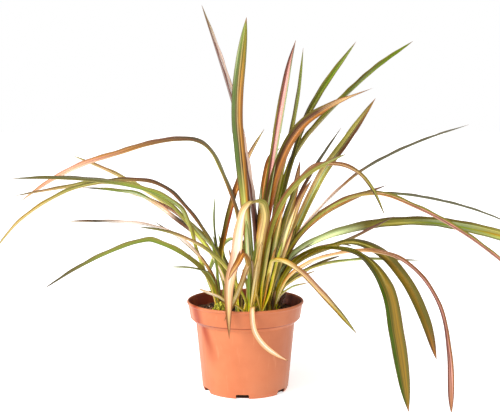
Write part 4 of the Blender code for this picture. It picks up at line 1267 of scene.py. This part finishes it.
def plastic_material():
    material, shader, patch = new_material("terracotta plastic", Roughness=0.42, Specular_IOR_Level=0.3)
    place = patch.own_place()
    x, y, height = patch.node("ShaderNodeSeparateXYZ", {0: place}).outputs
    normal = patch.node("ShaderNodeNewGeometry").outputs["Normal"]
    outwards = patch.vector("DOT_PRODUCT", normal, patch.combine(x, y, 0.0))
    scuffs = patch.noise(patch.vector("MULTIPLY", place, (1.0, 1.0, 0.12)), 160.0, 4.0)
    cloud = patch.noise(place, 18.0, 3.0)
    grain = patch.noise(place, 1400.0, 2.0)

    colour = patch.mix(patch.step(cloud, 0.35, 0.65), *PLASTIC_TINTS)
    colour = patch.mix(patch.step(scuffs, 0.6, 0.8, 0.0, 0.14), colour, SCUFF_TINT)
    dust = patch.times(patch.step(height, 0.04, 0.0), patch.step(cloud, 0.4, 0.7), 0.5)
    colour = patch.mix(dust, colour, DUST_TINT)

    # Partly compost stain and partly painted shade: the inner wall darkens, most on the right, where the
    # leaves shade it.
    inside = patch.times(patch.step(outwards, 0.0, -0.02), patch.step(height, POT_HEIGHT, LIP_FOOT))
    splash_and_shade_mask = patch.step(patch.noise(place, 55.0, 5.0), 0.3, 0.55, 0.6, 0.95)
    stain_and_shade = patch.mix(patch.step(x, -0.4 * RIM_RADIUS, 0.6 * RIM_RADIUS), *STAIN_AND_SHADE_TINTS)
    colour = patch.mix(patch.times(inside, splash_and_shade_mask), colour, stain_and_shade)

    # Painted shadow: a dark line just under the band's foot, where the band shades the body.
    off_band_shadow = patch.math("ABSOLUTE", patch.minus(height, BAND_FOOT - BAND_SHADOW_WIDTH))
    band_shadow = patch.times(patch.step(off_band_shadow, BAND_SHADOW_WIDTH, 0.0), patch.step(outwards, 0.0, 0.02, 0.0, 0.95))
    colour = patch.mix(band_shadow, colour, BAND_SHADOW_TINT)

    # Painted shade: a darker orange streak slanting down the left of the outer wall.
    bearing = patch.math("ARCTAN2", x, patch.times(y, -1.0))
    middle = patch.step(height, 0.4 * POT_HEIGHT, 0.9 * POT_HEIGHT, SHADE_STREAK_FOOT_BEARING, SHADE_STREAK_TOP_BEARING)
    off_shade_streak = patch.math("ABSOLUTE", patch.minus(bearing, middle))
    shade_streak = patch.times(
        patch.step(off_shade_streak, SHADE_STREAK_SPREAD, 0.0),
        patch.step(height, 0.3 * POT_HEIGHT, 0.75 * POT_HEIGHT),
        patch.step(outwards, 0.0, 0.02),
    )
    colour = patch.mix(shade_streak, colour, SHADE_STREAK_TINT)

    # Painted shade: the underside and the notches' inner faces are made nearly black.
    from_axis = patch.vector("LENGTH", patch.vector("MULTIPLY", place, (1.0, 1.0, 0.0)))
    underside_shade = patch.step(from_axis, BASE_RADIUS - WALL, BASE_RADIUS - 2 * WALL)
    colour = patch.mix(patch.times(underside_shade, 0.9), colour, UNDERSIDE_SHADE_TINT)
    relief = patch.plus(patch.times(grain, 0.4), scuffs)
    sheen = patch.step(scuffs, 0.3, 0.75, 0.32, 0.5)
    patch.finish(shader, colour, sheen, patch.bump(relief, 0.08 * MM, 0.6))
    return material


add_piece("nursery_pot", pot_mesh, plastic_material(), "terracotta_plastic", "pot")

# %% [markdown]
# ## The compost
#
# The soil is a low mound that fills the pot. Its sides only show through the notches, so they stay
# plain. Its top is crumbly: a finer mesh than the frame's follows the same mound, with more bumps.

# %% The root ball
SOIL_STEPS = 120
SOIL_RINGS = 34
SOIL_WALL_TOP = 126 * MM
SOIL_WALL_FOOT = 14 * MM
GAP = 0.3 * MM
MOUND = 4 * MM
RIPPLE = 1.2 * MM
RIPPLE_LENGTH = 62 * MM
CRUMB = 0.7 * MM
CRUMB_LENGTH = 24 * MM
BUMP_HEIGHT = 1.3
BUMPS_IN_A_METRE = 90
BUMP_SIZES = 4
FADE = 1.0
FINER = 2.0


def soil_height(x, y):
    """The top of the soil: a low mound with crumbly hollows."""
    mound = MOUND * (1 - (x * x + y * y) / RIM_RADIUS**2)
    wave = math.tau / RIPPLE_LENGTH
    ripple = RIPPLE * math.sin(x * wave) * math.cos(y * wave)
    crumb = CRUMB * math.sin((x - y) * math.tau / CRUMB_LENGTH)
    return SOIL_TOP + mound + ripple + crumb


def inner_radius(height):
    """The radius of the pot's inner wall at a height."""
    radii, heights = zip(*INNER_SIDE)
    return float(np.interp(height, heights, radii))


wall_heights = (SOIL_WALL_TOP, BAND_FOOT + WALL / 2, SHOULDER_FOOT + WALL / 2, SOIL_WALL_FOOT)
wall = [(inner_radius(height) - 2 * GAP, height) for height in wall_heights]
top = [(wall[0][0] * index / SOIL_RINGS, SOIL_TOP) for index in range(SOIL_RINGS)]
foot = FLOOR + GAP
outline = [*top, *wall, (inner_radius(foot) - NOTCH_INSET, foot), (0.0, foot)]
soil_mesh = spun("soil", outline, SOIL_STEPS)
for vertex in soil_mesh.vertices:
    x, y, z = vertex.co
    if z > SOIL_WALL_TOP + GAP:
        at = (x * BUMPS_IN_A_METRE, y * BUMPS_IN_A_METRE, 0.0)
        vertex.co.z = soil_height(x, y) + fractal(at, FADE, FINER, BUMP_SIZES) * BUMP_HEIGHT * MM
soil_mesh.shade_smooth()
print("soil:", len(soil_mesh.vertices), "points")

# %% [markdown]
# Compost is nearly black where it is wet and brown where it has dried, and small pale specks of grit
# lie in it. A coarse noise mixes the two browns, and a cell noise gives the specks: each cell's
# middle becomes one. It is almost as matt as a surface can be.

# %% The compost's look
COMPOST_TINTS = (srgb(38, 26, 20), srgb(84, 60, 42))
SPECK_TINT = srgb(128, 98, 66)


def compost_material():
    material, shader, patch = new_material("compost", Roughness=0.95, Specular_IOR_Level=0.2)
    place = patch.own_place()
    clumps = patch.noise(place, 130.0, 6.0, 0.65)
    grit = patch.node("ShaderNodeTexVoronoi", {"Vector": place, "Scale": 420.0}).outputs["Distance"]
    colour = patch.mix(patch.step(clumps, 0.35, 0.65), *COMPOST_TINTS)
    colour = patch.mix(patch.step(grit, 0.12, 0.05, 0.0, 0.6), colour, SPECK_TINT)
    relief = patch.plus(clumps, patch.times(grit, 0.4))
    patch.finish(shader, colour, patch.step(clumps, 0.3, 0.7, 1.0, 0.8), patch.bump(relief, 1.6 * MM, 0.9))
    return material


COMPOST = compost_material()
add_piece("root_ball", soil_mesh, COMPOST, "compost", "soil")

# %% [markdown]
# ## Crumbs, bark and grit on the soil
#
# Things that are strewn about are what Geometry Nodes do best. The tree spreads points over a patch
# of ground, puts a small lump on each, and gives it a random turn and size. Each lump is an
# icosphere of eighty faces whose points are pushed in or out a little, stretched to a chip or left
# round.

# %% The tree for strewn lumps
MOST_IN_A_SQUARE_METRE = 60000.0
LUMP_TILT = 0.5
GROUND_SQUARES = 24


def strewn_tree():
    tree, patch, given = new_tree(
        "strewn lumps", Apart="Float", Share="Float", Lump="Vector", Smallest="Float", Largest="Float",
        Dents="Float", Seed="Int", Material="Material",
    )
    inputs = {
        "Mesh": given["Mesh"], "Distance Min": given["Apart"], "Density Max": MOST_IN_A_SQUARE_METRE,
        "Density Factor": given["Share"], "Seed": given["Seed"],
    }
    points = patch.node("GeometryNodeDistributePointsOnFaces", inputs, distribute_method="POISSON")
    ball = patch.node("GeometryNodeMeshIcoSphere", {"Radius": 1.0, "Subdivisions": 2}).outputs[0]
    position = patch.node("GeometryNodeInputPosition").outputs[0]
    dent = patch.noise(position, 1.4, 1.0)
    size = patch.plus(1.0, patch.times(patch.minus(dent, 0.5), given["Dents"]))
    shaped = patch.vector("MULTIPLY", patch.vector("SCALE", position, size), given["Lump"])
    lump = patch.node("GeometryNodeSetPosition", {"Geometry": ball, "Position": shaped}).outputs[0]
    turns = {0: (-LUMP_TILT, -LUMP_TILT, 0.0), 1: (LUMP_TILT, LUMP_TILT, math.tau), "Seed": given["Seed"]}
    spin = patch.node("FunctionNodeRandomValue", turns, data_type="FLOAT_VECTOR")
    scales = {2: given["Smallest"], 3: given["Largest"], "Seed": given["Seed"]}
    scale = patch.node("FunctionNodeRandomValue", scales, data_type="FLOAT")
    lumps = patch.node("GeometryNodeInstanceOnPoints", {
        "Points": points.outputs["Points"], "Instance": lump,
        "Rotation": spin.outputs[0], "Scale": scale.outputs[1],
    })
    smooth = patch.node("GeometryNodeSetShadeSmooth", {"Geometry": lumps.outputs[0]})
    end_tree(patch, smooth.outputs[0], given["Material"])
    return tree


STREWN = strewn_tree()
print("strewing tree:", len(STREWN.nodes), "nodes")


def ground(radius):
    """A round patch of the soil's surface to strew things over."""
    bm = bmesh.new()
    bmesh.ops.create_grid(bm, x_segments=GROUND_SQUARES, y_segments=GROUND_SQUARES, size=radius)
    for vertex in list(bm.verts):
        if vertex.co.length > radius:
            bm.verts.remove(vertex)
    for vertex in bm.verts:
        vertex.co.z = soil_height(vertex.co.x, vertex.co.y)
    return mesh_from(bm, "ground")


# %% [markdown]
# Bark, grit and, later, moss share one dry and grainy look: a dark and a light tint mixed by a coarse
# noise, and a fine noise for the relief. One function makes all three. Then each kind of lump is one
# row of a table, with how far apart the lumps lie, how many places are filled, their shape, their
# least and greatest size and how dented they are.

# %% Materials for bark and grit
STREWN_RADIUS = 86 * MM


def grainy_material(name, dark, light, scale, roughness):
    """A dry matt stuff whose tone varies from lump to lump and over each."""
    material, shader, patch = new_material(name, Roughness=roughness, Specular_IOR_Level=0.25)
    place = patch.own_place()
    coarse = patch.noise(place, scale, 4.0, 0.6)
    fine = patch.noise(place, scale * 7, 3.0)
    colour = patch.mix(patch.step(coarse, 0.35, 0.65), dark, light)
    sheen = patch.step(fine, 0.3, 0.7, roughness, roughness - 0.15)
    patch.finish(shader, colour, sheen, patch.bump(fine, 0.4 * MM, 0.8))
    return material


BARK = grainy_material("bark chips", srgb(58, 36, 24), srgb(124, 84, 54), 120.0, 0.9)
GRIT = grainy_material("pale grit", srgb(186, 176, 156), srgb(232, 226, 212), 200.0, 0.85)

STREWN_KINDS = {
    "soil_crumbs": (COMPOST, {
        "Apart": 3.4 * MM, "Share": 1.0, "Lump": (1.0, 1.0, 0.8),
        "Smallest": 0.9 * MM, "Largest": 2.4 * MM, "Dents": 0.9, "Seed": 3,
    }),
    "bark_chips": (BARK, {
        "Apart": 8 * MM, "Share": 0.8, "Lump": (1.9, 1.0, 0.42),
        "Smallest": 1.8 * MM, "Largest": 4.0 * MM, "Dents": 0.8, "Seed": 8,
    }),
    "pale_grit": (GRIT, {
        "Apart": 11 * MM, "Share": 0.55, "Lump": (1.0, 0.9, 0.8),
        "Smallest": 0.7 * MM, "Largest": 1.6 * MM, "Dents": 0.7, "Seed": 5,
    }),
}
for name, (material, sizes) in STREWN_KINDS.items():
    mesh = grown(STREWN, ground(STREWN_RADIUS), {**sizes, "Material": material})
    add_piece(name, mesh, material, "compost")

# %% [markdown]
# ## A tuft of moss
#
# A bit of moss has settled by the rim. Moss is strewn too, as stretched green lumps that stand close
# together on a small dome. The dome is a ball that was swollen here and there by a noise. It isn't
# seen itself: only the lumps are kept.

# %% The moss
MOSS = grainy_material("moss", srgb(92, 96, 24), srgb(206, 200, 66), 260.0, 0.8)
MOSS_CENTRE = (-41 * MM, -57 * MM)
MOSS_RADIUS = 12 * MM
MOSS_HEIGHT = 24 * MM
MOSS_SWELL = 0.25
SWELL_SCALE = 1.6
SWELL_SIZES = 2
MOSS_SIZES = {
    "Apart": 1.1 * MM, "Share": 1.0, "Lump": (1.1, 0.5, 1.8), "Smallest": 0.8 * MM,
    "Largest": 2.0 * MM, "Dents": 0.5, "Seed": 2, "Material": MOSS,
}


def moss_dome(centre, radius, height):
    """A dome that sits in the soil, for the moss to grow on."""
    bm = bmesh.new()
    bmesh.ops.create_icosphere(bm, subdivisions=3, radius=1.0)
    for vertex in bm.verts:
        x, y, z = vertex.co
        at = (x * SWELL_SCALE, y * SWELL_SCALE, z * SWELL_SCALE)
        swell = 1 + MOSS_SWELL * fractal(at, FADE, FINER, SWELL_SIZES)
        place = (centre[0] + x * radius * swell, centre[1] + y * radius * swell)
        vertex.co = (*place, soil_height(*centre) + z * height * swell)
    return mesh_from(bm, "dome")


mesh = grown(STREWN, moss_dome(MOSS_CENTRE, MOSS_RADIUS, MOSS_HEIGHT), MOSS_SIZES)
add_piece("moss_tuft", mesh, MOSS, "leaf")

# %% [markdown]
# ## The floor, the light and the camera
#
# The part is shown on a plain white floor in a white room. Three lamps shape it: a broad one from the
# upper left gives the leaves their bright sides and their shade, a weak one from the front opens the
# shadows, and a low one from the left brushes along the leaves. The table gives each lamp's strength,
# the angle it seems wide, and how far it is tipped and turned, in degrees.

# %% The stage
STAGE_HALF_WIDTH = 12.0
STAGE_DROP = 0.4 * MM
STAGE_GLOW = 0.6
ROOM_LIGHT = 0.42
LAMPS = {
    "broad lamp": (2.9, 20, 50, -49),
    "front fill": (1.3, 60, 68, -15),
    "side strip": (0.85, 12, 82, -76),
}


def pale_floor():
    material, shader, patch = new_material("pale floor", Roughness=0.9, Specular_IOR_Level=0.1)
    colour = patch.mix(patch.noise(patch.own_place(), 3.0, 2.0), srgb(246, 246, 245), srgb(250, 250, 249))
    patch.plug(shader.inputs["Base Color"], colour)
    shader.inputs["Emission Color"].default_value = (1, 1, 1, 1)
    shader.inputs["Emission Strength"].default_value = STAGE_GLOW
    bm = bmesh.new()
    bmesh.ops.create_grid(bm, x_segments=1, y_segments=1, size=STAGE_HALF_WIDTH)
    mesh = mesh_from(bm, "floor")
    mesh.materials.append(material)
    floor = placed("floor", mesh)
    floor.location.z = -STAGE_DROP
    floor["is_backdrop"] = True


pale_floor()
scene = bpy.context.scene
world = bpy.data.worlds.new("white room")
world.use_nodes = True
patch = Patch(world.node_tree)
seen = patch.node("ShaderNodeLightPath").outputs["Is Camera Ray"]
backdrop = world.node_tree.nodes["Background"]
backdrop.inputs["Color"].default_value = (1, 1, 1, 1)
patch.plug(backdrop.inputs["Strength"], patch.step(seen, 0.0, 1.0, ROOM_LIGHT, 1.0))
scene.world = world
scene.view_settings.view_transform = "Standard"

for name, (energy, angle, tip, turn) in LAMPS.items():
    lamp = bpy.data.lights.new(name, "SUN")
    lamp.energy = energy
    lamp.angle = math.radians(angle)
    placed(name, lamp).rotation_euler = (math.radians(tip), 0, math.radians(turn))
print("lamps:", len(LAMPS))

# %% [markdown]
# The camera stands 1.6 m in front of the pot, at about three quarters of the plant's height, and
# looks slightly down. Its lens is worked out from a focal length in pixels, for a picture 500 pixels
# wide, because that is what one gets when a camera is solved from a photo.

# %% The camera
SENSOR = 36
FOCAL_PIXELS = 985
IMAGE_WIDTH = 500
CAMERA_PLACE = (0.0076, -1.6, 0.478)
LOOKS_DOWN = 6.24

camera = bpy.data.cameras.new("camera")
camera.sensor_width = SENSOR
camera.lens = SENSOR * FOCAL_PIXELS / IMAGE_WIDTH
scene.camera = placed("camera", camera)
scene.camera.location = CAMERA_PLACE
scene.camera.rotation_euler = (math.radians(90 - LOOKS_DOWN), 0, 0)
print("lens in mm:", round(camera.lens, 1))

# %% [markdown]
# ## Checking the size
#
# The dressed plant has to stay the size that was measured. Both boxes are measured, and the
# largest difference between them is printed.

# %% Sizes, and the end
dressed_box = [list(corner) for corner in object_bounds()]
growth = max(abs(a - b) for low, high in zip(frame_box, dressed_box) for a, b in zip(low, high))
print("largest difference of the boxes in mm:", round(growth / MM, 1))
